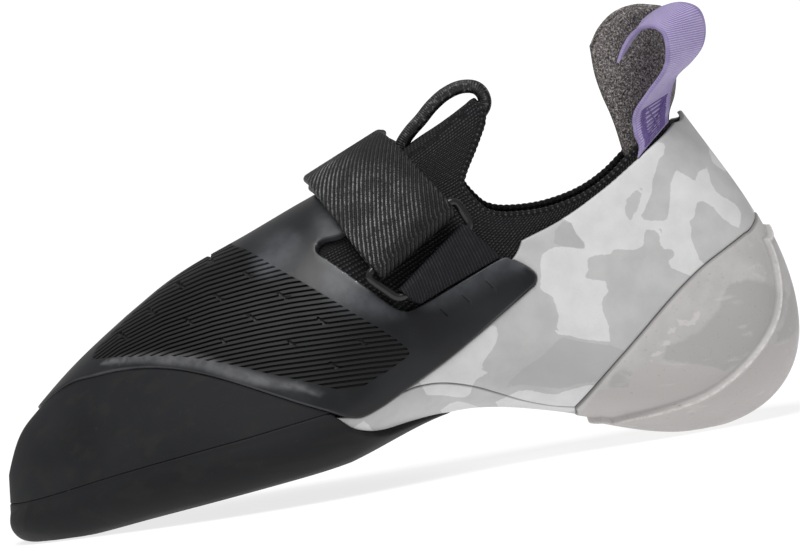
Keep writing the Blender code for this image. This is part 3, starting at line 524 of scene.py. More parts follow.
def inset(net, loop, distance, open_ridge):
    """The divided loop moved inwards by a distance on the surface; its seams stay where they are."""
    chart = from_lattice(net, loop)
    points = base(chart[:, 0], chart[:, 1])
    along = np.roll(points, -1, axis=0) - np.roll(points, 1, axis=0)
    du, dv = slope(np.maximum(chart[:, 0], 0.1), chart[:, 1])
    inward = unit(np.cross(outward(chart[:, 0], chart[:, 1]), along)) * distance
    seam = chart[:, 0] == 0
    if open_ridge:
        seam = on_seam(chart)
    uu, uv, vv = (du * du).sum(1), (du * dv).sum(1), (dv * dv).sum(1)
    ui, vi = (du * inward).sum(1), (dv * inward).sum(1)
    rest = np.maximum(uu * vv - uv * uv, 1e-12)
    step = np.stack([(vv * ui - uv * vi) / rest, (uu * vi - uv * ui) / rest], axis=1)
    at_nose = chart[:, 0] == 0
    step[seam & at_nose, 0] = 0
    step[seam & ~at_nose, 1] = 0
    step[seam & np.roll(seam, 1) & np.roll(seam, -1)] = 0
    moved = chart + np.clip(step, -0.2, 0.2)
    moved[:, 0] = np.clip(moved[:, 0], 0, STATIONS)
    return to_lattice(net, moved)


def inside(loop, points):
    """Which points lie inside the loop."""
    hit = np.zeros(len(points), bool)
    for a, b in zip(loop, np.roll(loop, -1, axis=0)):
        spans = (a[1] > points[:, 1]) != (b[1] > points[:, 1])
        if a[1] != b[1]:
            hit ^= spans & (points[:, 0] < a[0] + (b[0] - a[0]) * (points[:, 1] - a[1]) / (b[1] - a[1]))
    return hit


def distance_to(line, points, closed=True):
    """Distance of each point to a line of points."""
    ends = np.roll(line, -1, axis=0)
    if not closed:
        line, ends = line[:-1], line[1:]
    least = np.full(len(points), np.inf)
    for a, b in zip(line, ends):
        share = np.clip((points - a) @ (b - a) / max(np.dot(b - a, b - a), 1e-18), 0, 1)[:, None]
        least = np.minimum(least, np.linalg.norm(points - a - share * (b - a), axis=1))
    return least


def within(loop, points):
    """Distance inside a closed loop, negative outside."""
    return distance_to(loop, points) * np.where(inside(loop, points), 1, -1)


def triangles_of(net, outline, holes, lines, bare):
    """Lattice points and triangles that fill an outline; bare(points) says where no lattice point goes."""
    low, high = np.floor(outline.min(axis=0)), np.ceil(outline.max(axis=0))
    columns, rows = (np.arange(low[k], high[k] + 1) for k in range(2))
    grid = np.stack(np.meshgrid(columns, rows), -1).reshape(-1, 2)
    keep = inside(outline, grid)
    for hole in holes:
        keep &= ~inside(hole, grid)
    grid = grid[keep]
    if bare is not None:
        chart = from_lattice(net, grid)
        grid = grid[~bare(base(chart[:, 0], chart[:, 1]))]
    runs = [*((loop, True) for loop in (outline, *holes)), *lines]
    edges = []
    first = 0
    for run, closed in runs:
        count = len(run)
        edges.extend((first + i, first + (i + 1) % count) for i in range(count if closed else count - 1))
        first += count
    drawn = np.vstack([run for run, _ in runs])
    near = tree_of(np.insert(drawn, 2, 0, axis=1))
    points = np.vstack([drawn, grid[distances(near, np.insert(grid, 2, 0, axis=1)) > CELL_CLEAR]])
    found, _, faces, *_ = delaunay_2d_cdt([tuple(p) for p in points], edges, [], 0, 1e-6, False)
    found = np.array([tuple(p) for p in found])
    faces = np.array(faces)
    middles = found[faces].mean(axis=1)
    keep = inside(outline, middles)
    for hole in holes:
        keep &= ~inside(hole, middles)
    a, b, c = (found[faces[:, k]] for k in range(3))
    size = (b[:, 0] - a[:, 0]) * (c[:, 1] - a[:, 1]) - (b[:, 1] - a[:, 1]) * (c[:, 0] - a[:, 0])
    faces = np.where(size[:, None] < 0, faces[:, ::-1], faces)
    return found, faces[keep & (np.abs(size) > 1e-7)]


def new_mesh(name, points, faces, look, values):
    """A smooth-shaded object with float attributes on its points."""
    mesh = bpy.data.meshes.new(name)
    mesh.from_pydata((np.asarray(points) + SHIFT).tolist(), [], [tuple(map(int, face)) for face in faces])
    for key, numbers in values.items():
        rows = mesh.attributes.new(key, "FLOAT", "POINT").data
        rows.foreach_set("value", np.asarray(numbers, np.float32))
    mesh.materials.append(look)
    mesh.shade_smooth()
    mesh.set_sharp_from_angle(angle=SHARP_ANGLE)
    thing = bpy.data.objects.new(name, mesh)
    bpy.context.scene.collection.objects.link(thing)
    return thing


def welded(points, faces, values):
    """Points that coincide become one, and faces that lose an edge are dropped."""
    keys = np.round(points / WELD).astype(np.int64)
    _, first, to = np.unique(keys, axis=0, return_index=True, return_inverse=True)
    to = to.ravel()
    faces = to[np.asarray(faces)]
    faces = faces[(faces != np.roll(faces, -1, axis=1)).all(axis=1)]
    _, once = np.unique(np.sort(faces, axis=1), axis=0, return_index=True)
    kept = {key: np.asarray(numbers)[first] for key, numbers in values.items()}
    return points[first], faces[np.sort(once)], kept


def edge_of(faces):
    """Directed edges that only one triangle has."""
    sides = np.vstack([faces[:, [0, 1]], faces[:, [1, 2]], faces[:, [2, 0]]])
    ordered = np.sort(sides, axis=1)
    _, index, count = np.unique(ordered, axis=0, return_index=True, return_counts=True)
    return sides[index[count == 1]]


def rounded(distance, radius):
    """How much a rounded edge falls below the full surface at a distance from the edge."""
    share = 1 - np.clip(distance / radius, 0, 1)
    return radius * (1 - np.sqrt(np.maximum(1 - share**2, 0)))


def panel(
    name, look, outlines, wall, radius, out=LAYER_GAP, holes=(), lines=(), bare=None, relief=None,
    values=None, open_ridge=False, net=FINE,
):
    """A closed piece on the last with an edge rounded by radius.

    wall is a thickness or wall(u, v). relief(u, v, points) adds to it. lines are chart lines that its
    triangles follow, net is the lattice that fills the rest, and bare(points) says where it stays empty.
    values are rules whose results its material reads.
    """
    tops, bottoms, charts, rims, faces = [], [], [], [], []
    count = 0
    for outline in outlines:
        loop = divided(net, outline)
        cut = [divided(net, hole) for hole in holes]
        rings = [(inset(net, loop, radius * share, open_ridge), True) for share in RIM_RINGS]
        along = [(to_lattice(net, line), closed) for line, closed in lines]
        found, triangles = triangles_of(net, loop, cut, [*rings, *along], bare)
        chart = from_lattice(net, found)
        sides = edge_of(triangles)
        seam = on_seam(chart) if open_ridge else chart[:, 0] == 0
        sides = sides[~(seam[sides[:, 0]] & seam[sides[:, 1]])]
        flat = base(chart[:, 0], chart[:, 1])
        begin, end = flat[sides[:, 0]], flat[sides[:, 1]]
        rim = np.vstack([begin * (1 - t) + end * t for t in RIM_PARTS])
        from_edge = distances(tree_of(rim), flat)
        full = wall(chart[:, 0], chart[:, 1]) if callable(wall) else np.full(len(chart), wall)
        height = full - np.minimum(rounded(from_edge, radius), full * RIM_DROP)
        if relief:
            height = height + relief(chart[:, 0], chart[:, 1], flat) * step_on(from_edge, 0, radius)
        tops.append(last(chart[:, 0], chart[:, 1], out + height))
        bottoms.append(last(chart[:, 0], chart[:, 1], np.full(len(chart), out)))
        rims.extend([from_edge, from_edge])
        charts.append(chart)
        n = len(chart)
        upper_faces = triangles + count
        lower_faces = triangles[:, ::-1] + count + n
        a, b = sides[:, 0] + count, sides[:, 1] + count
        walls = np.vstack([np.stack([b, a, a + n], 1), np.stack([b, a + n, b + n], 1)])
        faces.append(np.vstack([upper_faces, lower_faces, walls]))
        count += 2 * n
    points = np.vstack([each for pair in zip(tops, bottoms) for each in pair])
    chart = np.vstack([chart for chart in charts for _ in range(2)])
    flat = base(chart[:, 0], chart[:, 1])
    shown = {key: rule(chart[:, 0], chart[:, 1], flat) for key, rule in (values or {}).items()}
    shown["rim"] = np.concatenate(rims)
    points, faces, shown = welded(points, np.vstack(faces), shown)
    return new_mesh(name, points, faces, look, shown)


def shares_across(width, radius, spacing):
    """Shares of a width from 0 to 1, close together within the rounded edges."""
    near = [0, 0.1, 0.3, 0.6]
    count = max(2, round((width - 2 * radius) / spacing))
    middle = np.linspace(radius, width - radius, count + 1)
    row = np.concatenate([np.multiply(near, radius), middle, width - np.multiply(near[::-1], radius)])
    return row / width


def sheet_solid(name, look, grid, wall, relief=None, values=None):
    """A closed piece round a grid of points, half its wall on each side, with round edges."""
    across = np.array([lengths_along(row) for row in grid])
    along = np.array([lengths_along(column) for column in grid.swapaxes(0, 1)]).T
    from_edge = np.minimum.reduce([across, across[:, -1:] - across, along, along[-1:] - along])
    radius = wall / 2
    height = radius - rounded(from_edge, radius)
    normal = unit(np.cross(np.gradient(grid, axis=0), np.gradient(grid, axis=1)))
    middle = across - across[:, -1:] / 2
    mean_along = np.broadcast_to(along.mean(axis=1, keepdims=True), along.shape)
    if relief:
        height = height + relief(mean_along, middle) * step_on(from_edge, 0, wall)
    lift = normal * height[..., None]
    rows, wide = grid.shape[:2]
    at = np.arange(rows * wide).reshape(rows, wide)
    a, b, c, d = at[:-1, :-1].ravel(), at[:-1, 1:].ravel(), at[1:, 1:].ravel(), at[1:, :-1].ravel()
    upper = np.vstack([np.stack([a, d, c], 1), np.stack([a, c, b], 1)])
    faces = np.vstack([upper, upper[:, ::-1] + rows * wide])
    points = np.vstack([(grid + lift).reshape(-1, 3), (grid - lift).reshape(-1, 3)])
    known = {"along": mean_along, "across": middle, "edge": from_edge, **(values or {})}
    shown = {key: np.tile(numbers.ravel(), 2) for key, numbers in known.items()}
    points, faces, shown = welded(points, faces, shown)
    return new_mesh(name, points, faces, look, shown)


def between(left, right, wall, spacing, steps):
    """Grid of points between two edge lines."""
    left, right = smooth(left, steps), smooth(right, steps)
    width = np.linalg.norm(left - right, axis=1).mean()
    shares = shares_across(width, wall / 2, spacing)
    return left[:, None] * (1 - shares[:, None]) + right[:, None] * shares[:, None]


def placed(thing, node):
    """The piece stands for a node of the model, and that node is hidden."""
    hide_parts(node)
    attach(thing, "root")


def detail(thing, slot):
    """The piece is a detail of its own."""
    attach(thing, "root")


class Look:
    """A material and short ways to add nodes to it."""

    def __init__(self, name, colour, roughness, **settings):
        self.made = bpy.data.materials.new(name)
        self.made.use_nodes = True
        self.tree = self.made.node_tree
        self.shader = self.tree.nodes["Principled BSDF"]
        self.shader.inputs["Base Color"].default_value = (*colour, 1)
        self.shader.inputs["Roughness"].default_value = roughness
        for key, value in settings.items():
            self.shader.inputs[key.replace("_", " ").title().replace("Ior", "IOR")].default_value = value
        self.place = self.node("ShaderNodeTexCoord").outputs["Object"]

    def node(self, kind, **inputs):
        """A node with these inputs, numbers or sockets."""
        made = self.tree.nodes.new(kind)
        for key, value in inputs.items():
            self.put(made.inputs[key], value)
        return made

    def put(self, socket, value):
        if isinstance(value, bpy.types.NodeSocket):
            self.tree.links.new(value, socket)
        elif isinstance(value, tuple) and len(value) == 3 and socket.type == "RGBA":
            socket.default_value = (*value, 1)
        else:
            socket.default_value = value

    def value(self, name):
        """A float that the mesh carries on its points."""
        made = self.node("ShaderNodeAttribute")
        made.attribute_name = name
        return made.outputs["Fac"]

    def math(self, operation, a, b=0.0, c=0.0):
        made = self.node("ShaderNodeMath")
        made.operation = operation
        for socket, value in zip(made.inputs, (a, b, c)):
            self.put(socket, value)
        return made.outputs[0]

    def add(self, a, b):
        return self.math("ADD", a, b)

    def times(self, a, b):
        return self.math("MULTIPLY", a, b)

    def noise(self, size, detail=2.0, roughness=0.5, place=None):
        """Noise from 0 to 1 whose lumps are about size across, in metres."""
        where = self.place if place is None else place
        made = self.node("ShaderNodeTexNoise", Vector=where, Scale=1 / size, Detail=detail)
        self.put(made.inputs["Roughness"], roughness)
        return made.outputs["Fac"]

    def stretched(self, share):
        """Places whose X counts only by a share, for marks that run along the shoe."""
        return self.node("ShaderNodeMapping", Vector=self.place, Scale=(share, 1.0, 1.0)).outputs[0]

    def steps(self, value, low, high, to_low=0.0, to_high=1.0):
        """Smooth step of a value."""
        made = self.node("ShaderNodeMapRange", Value=value)
        made.interpolation_type = "SMOOTHSTEP"
        for key, number in (("From Min", low), ("From Max", high), ("To Min", to_low), ("To Max", to_high)):
            made.inputs[key].default_value = number
        return made.outputs["Result"]

    def wave(self, value, period, phase=0.0):
        """A sine from 0 to 1 along a value in metres."""
        turned = self.math("MULTIPLY_ADD", value, 2 * math.pi / period, phase)
        return self.math("MULTIPLY_ADD", self.math("SINE", turned), 0.5, 0.5)

    def mix(self, share, a, b):
        """Colour a with b over it by a share."""
        made = self.tree.nodes.new("ShaderNodeMix")
        made.data_type = "RGBA"
        self.put(made.inputs[0], share)
        self.put(made.inputs[6], a)
        self.put(made.inputs[7], b)
        return made.outputs[2]

    def blend(self, value, low, high, a, b):
        """Colour a that turns into b as a value goes from low to high."""
        return self.mix(self.steps(value, low, high), a, b)

    def colour(self, value):
        self.put(self.shader.inputs["Base Color"], value)

    def rough(self, value):
        self.put(self.shader.inputs["Roughness"], value)

    def bump(self, *layers):
        """Bumps, each (height from 0 to 1, depth in metres)."""
        normal = None
        for height, depth in layers:
            made = self.node("ShaderNodeBump", Height=height, Distance=depth, Strength=1.0)
            if normal:
                self.put(made.inputs["Normal"], normal)
            normal = made.outputs["Normal"]
        self.put(self.shader.inputs["Normal"], normal)
        return self


# Spacing of the knit's ribs, and of the scallops on its rolled edge
KNIT_PITCH = 1.05 * MM
SCALLOP = 1.85 * MM

# Diagonal ribs of the strap: their spacing, their height, and the shares of the way across and of the way
# along that they count by
STRAP_PITCH = 1.40 * MM
STRAP_RELIEF = 0.22 * MM
STRAP_ACROSS = 0.84
STRAP_ALONG = -0.54

# Camouflage of the lateral side, charted on the photograph's pixels
LIGHT_PATCHES = (
    (
        (552, 330), (568, 330), (578, 334), (591, 335), (602, 336), (609, 337), (607, 330), (607, 318),
        (603, 312), (599, 302), (601, 294), (607, 286), (606, 277), (594, 276), (584, 276), (583, 271),
        (589, 267), (585, 260), (586, 255), (593, 251), (603, 251), (609, 251), (611, 246), (621, 245),
        (629, 247), (638, 244), (642, 241), (642, 230), (645, 226), (650, 227), (662, 224), (658, 232),
        (657, 241), (660, 245), (674, 246), (671, 253), (666, 256), (668, 263), (674, 266), (682, 269),
        (693, 274), (703, 262), (703, 260), (696, 257), (695, 251), (691, 241), (688, 232), (689, 224),
        (686, 218), (691, 214), (693, 200), (699, 199), (709, 206), (717, 216), (727, 224), (734, 227),
        (735, 212), (731, 206), (723, 200), (711, 192), (706, 183), (701, 167), (693, 172), (691, 180),
        (680, 173), (672, 168), (668, 181), (667, 204), (665, 217), (650, 217), (636, 215), (642, 208),
        (646, 198), (650, 188), (650, 177), (653, 169), (656, 157), (660, 153), (662, 143), (652, 140),
        (600, 180), (560, 215), (572, 221), (575, 232), (584, 241), (582, 246), (572, 244), (560, 243),
        (550, 244), (540, 251), (538, 261), (539, 271), (537, 285), (546, 290), (551, 292), (554, 302),
        (557, 314),
    ),
    (
        (415, 372), (424, 366), (493, 318), (496, 326), (494, 336), (489, 344), (481, 354), (478, 363),
        (486, 364), (481, 368), (473, 371), (470, 377), (466, 387), (456, 388), (442, 386), (432, 386),
        (423, 386),
    ),
    ((703, 137), (712, 151), (721, 163), (724, 175), (717, 172), (707, 164), (703, 153)),
    ((742, 199), (752, 198), (760, 210), (756, 214), (747, 215)),
    (
        (494, 393), (505, 387), (517, 382), (528, 381), (540, 384), (554, 386), (566, 382), (586, 377),
        (599, 378), (600, 382), (595, 389), (584, 398), (572, 405), (560, 412), (540, 410), (513, 408),
        (502, 404),
    ),
    (
        (446, 394), (456, 391), (464, 393), (477, 398), (481, 402), (472, 404), (464, 406), (456, 407),
        (448, 407), (440, 404), (437, 400),
    ),
    ((350, 418), (362, 410), (371, 422), (364, 432), (352, 428)),
)
DARK_PATCHES = (
    ((641, 183), (639, 196), (631, 218), (626, 216), (623, 208), (625, 196), (631, 189)),
    (
        (562, 218), (572, 221), (575, 232), (584, 241), (582, 246), (572, 244), (560, 243), (552, 240),
        (553, 228),
    ),
    (
        (560, 331), (575, 336), (592, 338), (609, 340), (622, 345), (615, 362), (600, 375), (586, 374),
        (560, 380), (540, 378), (520, 376), (500, 380), (520, 362), (540, 350),
    ),
    ((566, 405), (580, 400), (590, 410), (575, 414), (560, 412)),
)
HEEL_LIGHT_PATCHES = (
    (
        (575, 410), (586, 396), (598, 381), (612, 379), (627, 379), (631, 366), (643, 359), (646, 356),
        (658, 358), (670, 360), (687, 359), (704, 360), (721, 365), (733, 362), (737, 365), (750, 347),
        (759, 336), (764, 340), (774, 338.5), (784, 330), (788, 353), (791, 355), (799, 345), (802, 361),
        (790, 392), (751, 418), (713, 428), (652, 430), (610, 428), (590, 422), (575, 416),
    ),
)
HEEL_DARK_PATCHES = (
    (
        (725, 280), (740, 276), (760, 281), (774, 292), (770, 315), (756, 333), (736, 355), (721, 364),
        (702, 359), (680, 356), (659, 355), (664, 342), (673, 338), (698, 325.5), (713, 307), (722, 286),
    ),
    (
        (764, 338), (772, 320), (779, 290), (777, 262), (784, 275), (793, 300), (797, 330), (788, 352),
        (784, 330), (775, 336),
    ),
    (
        (607, 378), (612, 366), (626, 362), (629, 366), (620, 372), (636, 376), (650, 384), (640, 384),
        (625, 381), (612, 382),
    ),
)
SCUFFS = (
    ((679, 315), (674, 318), (669, 326), (667, 333), (662, 341), (655, 348), (649, 353)),
    ((678, 317), (686, 318), (691, 317)),
    ((690, 314), (694, 311), (694, 307)),
)


def patches(tables):
    """Distance inside any of these patches, in metres, as a rule for a surface's points."""
    loops = [side_view(table) for table in tables]

    def rule(u, v, points):
        places = side_places(points)
        return np.maximum.reduce([within(loop, places) for loop in loops])

    return rule


def lines_near(tables):
    """Distance to the nearest of these lines, in metres, as a rule for a surface's points."""
    paths = [smooth(side_view(table), 4) for table in tables]

    def rule(u, v, points):
        places = side_places(points)
        return np.minimum.reduce([distance_to(path, places, False) for path in paths])

    return rule


def smears(tables, half):
    """Share from 0 to 1 of soft smears along these lines, half their width in metres, thin at both ends."""
    paths = [smooth(side_view(table), 6) for table in tables]

    def rule(u, v, points):
        places = side_places(points)
        best = np.zeros(len(places))
        for path in paths:
            for share, spot in zip(np.linspace(0.02, 0.98, len(path)), path):
                reach = half * math.sin(math.pi * share) ** 0.6
                best = np.maximum(best, 1 - np.linalg.norm(places - spot, axis=1) / reach)
        return best

    return rule


def height_of(u, v, points):
    """Height above the floor, as a rule for a surface's points."""
    return points[:, 2]


def knit_look():
    """Black ribbed knit: ribs run away from the collar edge, with small stitches along each, lit on top by
    painted highlight.
    """
    look = Look("black knit", (0.008, 0.008, 0.010), 0.85, specular_ior_level=0.3)
    rib = look.value("rib")
    row = look.value("row")
    ribs = look.wave(rib, KNIT_PITCH)
    stitches = look.wave(look.add(row, look.times(ribs, 0.5 * MM)), 1.1 * MM)
    lumps = look.noise(0.5 * MM, 3)
    height = look.add(look.times(ribs, 0.45), look.times(look.times(stitches, ribs), 0.55))
    # Painted highlight on the tops of ribs and stitches, painted shade in the hollows between them
    stitch_highlight = look.times(look.steps(height, 0.35, 0.90), look.steps(lumps, 0.35, 0.62, 0.20, 1.0))
    look.colour(look.mix(stitch_highlight, (0.0022, 0.0022, 0.0028), (0.075, 0.075, 0.081)))
    look.bump((height, 0.45 * MM), (lumps, 0.12 * MM))
    return look.made


def patch_look():
    """Black moulded rubber with a dull ribbed zone darkened by painted shade, a painted sheen, dust, and
    edges with wear and a painted highlight.
    """
    look = Look("black rubber", (0.010, 0.011, 0.012), 0.36, specular_ior_level=0.32)
    smudge = look.noise(22 * MM, 4)
    grain = look.noise(0.35 * MM, 2)
    tone = look.blend(smudge, 0.35, 0.7, (0.0075, 0.0080, 0.0095), (0.0125, 0.0135, 0.0155))
    # Ribbed zone: rougher, and darker in colour by painted shade
    ribbed_with_shade = look.steps(look.value("zone"), -0.3 * MM, 0.3 * MM)
    tone = look.mix(look.times(ribbed_with_shade, 0.9), tone, (0.0034, 0.0036, 0.0043))
    cloud = look.steps(look.noise(6 * MM, 4, roughness=0.6), 0.25, 0.75, 0.45, 1.0)
    # Painted sheen: lighter grey smears where the rubber catches the light
    sheen_share = look.times(look.steps(look.value("painted_sheen"), 0, 1), cloud)
    tone = look.mix(sheen_share, tone, (0.068, 0.073, 0.081))
    # Painted highlight: a light band along the patch's lower border
    border_highlight = look.times(look.steps(look.value("border_highlight"), 0, 0.9), cloud)
    tone = look.mix(border_highlight, tone, (0.120, 0.121, 0.126))
    specks = look.steps(look.noise(0.8 * MM, 4, roughness=0.7), 0.54, 0.64)
    by_rim = look.steps(look.value("rim"), 1.1 * MM, 0.5 * MM)
    dust = look.times(look.steps(look.value("dust"), 0.3, 0.8), by_rim)
    tone = look.mix(look.times(dust, specks), tone, (0.45, 0.45, 0.46))
    # Painted highlight along the rounded edges, broken up in patches like wear
    wear_and_sheen = look.steps(smudge, 0.40, 0.60, 0.25, 0.8)
    edge = look.times(look.steps(look.value("rim"), 0.75 * MM, 0.25 * MM), wear_and_sheen)
    tone = look.mix(edge, tone, (0.060, 0.061, 0.066))
    look.colour(tone)
    look.rough(look.math("MULTIPLY_ADD", ribbed_with_shade, 0.16, look.steps(smudge, 0.3, 0.75, 0.30, 0.44)))
    look.bump((look.noise(9 * MM, 2), 0.10 * MM), (grain, 0.015 * MM))
    return look.made


def sole_look(name, share):
    """Dull black rubber with worn specks and brownish streaks, darkened to a share of its tone."""
    look = Look(name, (0.012, 0.0125, 0.014), 0.62, specular_ior_level=0.22)
    cloud = look.noise(30 * MM, 4)
    grain = look.noise(0.3 * MM, 3)
    wear_and_sheen = look.steps(look.noise(1.6 * MM, 5), 0.62, 0.80)
    tint = look.blend(cloud, 0.3, 0.7, (0.0090, 0.0095, 0.0110), (0.0155, 0.0160, 0.0182))
    streak = look.steps(look.noise(5 * MM, 5, place=look.stretched(0.18)), 0.50, 0.66)
    tint = look.mix(look.times(streak, 0.55), tint, (0.0200, 0.0190, 0.0175))
    tint = look.mix(look.times(wear_and_sheen, 0.30), tint, (0.040, 0.040, 0.043))
    look.colour(look.mix(share, (0.0, 0.0, 0.0), tint))
    look.rough(look.steps(cloud, 0.3, 0.7, 0.56, 0.70))
    look.bump((look.noise(14 * MM, 2), 0.12 * MM), (grain, 0.03 * MM))
    return look.made


def speckled_edge(look, mask_name):
    """A patch's share from its distance attribute, with a slightly ragged edge."""
    ragged = look.math("MULTIPLY_ADD", look.noise(1.5 * MM, 4), 0.70 * MM, -0.35 * MM)
    return look.steps(look.add(look.value(mask_name), ragged), -0.12 * MM, 0.12 * MM)


def camo_look():
    """Camouflage in greys, dirtier towards the floor and darkened at its rim by painted shadow."""
    look = Look("camouflage rubber", (0.55, 0.55, 0.55), 0.52, specular_ior_level=0.4)
    mottle = look.noise(7 * MM, 5)
    tone = look.blend(mottle, 0.3, 0.7, (0.445, 0.445, 0.445), (0.500, 0.499, 0.498))
    light = look.blend(mottle, 0.3, 0.7, (0.610, 0.609, 0.610), (0.665, 0.664, 0.665))
    tone = look.mix(speckled_edge(look, "light_patch"), tone, light)
    tone = look.mix(look.times(speckled_edge(look, "dark_patch"), 0.6), tone, (0.385, 0.385, 0.385))
    dirt = look.steps(look.noise(2.2 * MM, 6, roughness=0.7), 0.58, 0.85)
    low = look.steps(look.value("height"), 0.008, 0.060, 1.0, 0.15)
    tone = look.mix(look.times(look.times(dirt, low), 0.35), tone, (0.36, 0.34, 0.33))
    fine = look.steps(look.noise(0.7 * MM, 3), 0.55, 0.80, 0.0, 0.12)
    tone = look.mix(fine, tone, (0.30, 0.29, 0.29))
    # Painted shadow: the colour darkens within about half a millimetre of the panel's edge
    rim = look.steps(look.value("rim"), 0.1 * MM, 0.55 * MM, 0.55, 0.0)
    look.colour(look.mix(rim, tone, (0.17, 0.17, 0.17)))
    look.rough(look.steps(mottle, 0.3, 0.7, 0.44, 0.58))
    look.bump((look.noise(6 * MM, 3), 0.12 * MM), (look.noise(0.4 * MM, 2), 0.02 * MM))
    return look.made


def heel_look():
    """Grey rubber with a lighter and a darker patch, scuffs, and a bead along the cap's edge with wear and a
    painted highlight.
    """
    look = Look("grey heel rubber", (0.46, 0.44, 0.43), 0.5, specular_ior_level=0.4)
    mottle = look.noise(9 * MM, 6, roughness=0.6)
    tone = look.blend(mottle, 0.3, 0.7, (0.440, 0.427, 0.424), (0.500, 0.484, 0.480))
    soft = look.math("MULTIPLY_ADD", look.noise(3 * MM, 5), 2.4 * MM, -1.2 * MM)
    dark = look.steps(look.add(look.value("heel_dark"), soft), -0.8 * MM, 0.8 * MM)
    tone = look.mix(look.times(dark, 0.75), tone, (0.365, 0.358, 0.352))
    tone = look.mix(speckled_edge(look, "heel_light"), tone, (0.450, 0.425, 0.418))
    dots = look.steps(look.noise(0.9 * MM, 2), 0.64, 0.74)
    tone = look.mix(look.times(dots, 0.35), tone, (0.25, 0.24, 0.235))
    streaks = look.steps(look.noise(3.5 * MM, 5, place=look.stretched(0.25)), 0.60, 0.72)
    tone = look.mix(look.times(streaks, 0.22), tone, (0.70, 0.67, 0.65))
    ragged = look.times(look.noise(1.2 * MM, 4), 1.6 * MM)
    scuff = look.steps(look.add(look.value("scuff"), ragged), 1.9 * MM, 1.4 * MM)
    tone = look.mix(look.times(scuff, 0.55), tone, (0.62, 0.595, 0.58))
    cap = look.value("cap")
    # Painted highlight over wear on the bead along the cap's edge
    bead_highlight = look.times(look.steps(cap, -0.1 * MM, 0.25 * MM), look.steps(cap, 0.95 * MM, 0.60 * MM))
    wear_and_sheen = look.steps(look.noise(1.5 * MM, 4), 0.35, 0.60, 0.35, 0.85)
    tone = look.mix(look.times(bead_highlight, wear_and_sheen), tone, (0.66, 0.64, 0.625))
    # Painted shade: a darker band at the foot of the cap's step, just outside its edge
    foot = look.times(look.steps(cap, -1.5 * MM, -0.9 * MM), look.steps(cap, -0.2 * MM, -0.6 * MM))
    tone = look.mix(look.times(foot, 0.40), tone, (0.28, 0.27, 0.265))
    # Painted shade: the colour darkens within about a millimetre of the heel rubber's edge
    rim = look.steps(look.value("rim"), 0.3 * MM, 1.1 * MM, 0.75, 0.0)
    look.colour(look.mix(rim, tone, (0.14, 0.135, 0.132)))
    look.rough(look.steps(mottle, 0.3, 0.7, 0.42, 0.60))
    pitted = look.noise(1.1 * MM, 5, roughness=0.65)
    look.bump((look.noise(8 * MM, 3), 0.15 * MM), (pitted, 0.05 * MM))
    return look.made


def strap_look():
    """Black coated webbing with painted glints on the grain of its diagonal ribs, brightest near a charted
    line.
    """
    look = Look("strap webbing", (0.014, 0.014, 0.016), 0.42, specular_ior_level=0.3)
    across = look.times(look.value("across"), STRAP_ACROSS)
    along = look.times(look.value("along"), STRAP_ALONG)
    ribs = look.wave(look.add(across, along), STRAP_PITCH, -math.pi / 2)
    grain = look.noise(0.42 * MM, 3, roughness=0.7)
    # Painted highlights: glints on the rib tops, strongest near the charted line and fainter away from it
    faint = look.times(
        look.steps(look.noise(6 * MM, 3), 0.32, 0.62, 0.35, 1.0),
        look.steps(look.value("wear_and_sheen"), 3.5 * MM, 11 * MM, 1.0, 0.16),
    )
    glint = look.times(look.times(look.steps(ribs, 0.45, 0.85), look.steps(grain, 0.42, 0.60)), faint)
    look.colour(look.mix(glint, (0.0035, 0.0035, 0.0042), (0.30, 0.30, 0.305)))
    look.rough(look.steps(grain, 0.40, 0.70, 0.55, 0.30))
    look.bump((ribs, 0.30 * MM), (grain, 0.16 * MM))
    return look.made


def ring_look():
    """Smooth black plastic."""
    look = Look("black plastic", (0.010, 0.010, 0.011), 0.22)
    look.rough(look.steps(look.noise(5 * MM, 3), 0.3, 0.7, 0.16, 0.32))
    look.bump((look.noise(0.6 * MM, 2), 0.015 * MM))
    return look.made


def twill_look():
    """Dark twill with steep diagonal ribs, their tops lit by painted highlight."""
    look = Look("dark twill", (0.012, 0.011, 0.015), 0.7, specular_ior_level=0.3)
    diagonal = look.add(look.value("across"), look.times(look.value("along"), 0.45))
    ribs = look.wave(diagonal, 1.07 * MM)
    threads = look.wave(look.value("along"), 0.5 * MM)
    height = look.add(look.times(ribs, 0.8), look.times(threads, 0.2))
    wear_and_sheen = look.steps(look.noise(3 * MM, 4), 0.40, 0.75)
    # Painted highlight on the rib tops, in patches, over painted shade between them
    top = look.times(look.steps(height, 0.55, 0.98), look.steps(wear_and_sheen, 0.0, 1.0, 0.45, 1.0))
    look.colour(look.mix(top, (0.0040, 0.0036, 0.0055), (0.036, 0.033, 0.045)))
    look.bump((height, 0.30 * MM), (look.noise(0.3 * MM, 2), 0.05 * MM))
    return look.made


def loop_look():
    """Black woven band with painted glints on its threads."""
    look = Look("woven band", (0.014, 0.014, 0.016), 0.45)
    threads = look.wave(look.value("along"), 0.7 * MM)
    warp = look.wave(look.value("across"), 0.8 * MM)
    height = look.add(look.times(threads, 0.6), look.times(warp, 0.4))
    # Painted highlights: glints on the tops of the threads
    glint = look.steps(look.noise(1.2 * MM, 4), 0.52, 0.66)
    look.colour(look.mix(look.times(glint, height), (0.006, 0.006, 0.007), (0.17, 0.17, 0.18)))
    look.bump((height, 0.14 * MM), (look.noise(0.4 * MM, 3), 0.12 * MM))
    return look.made


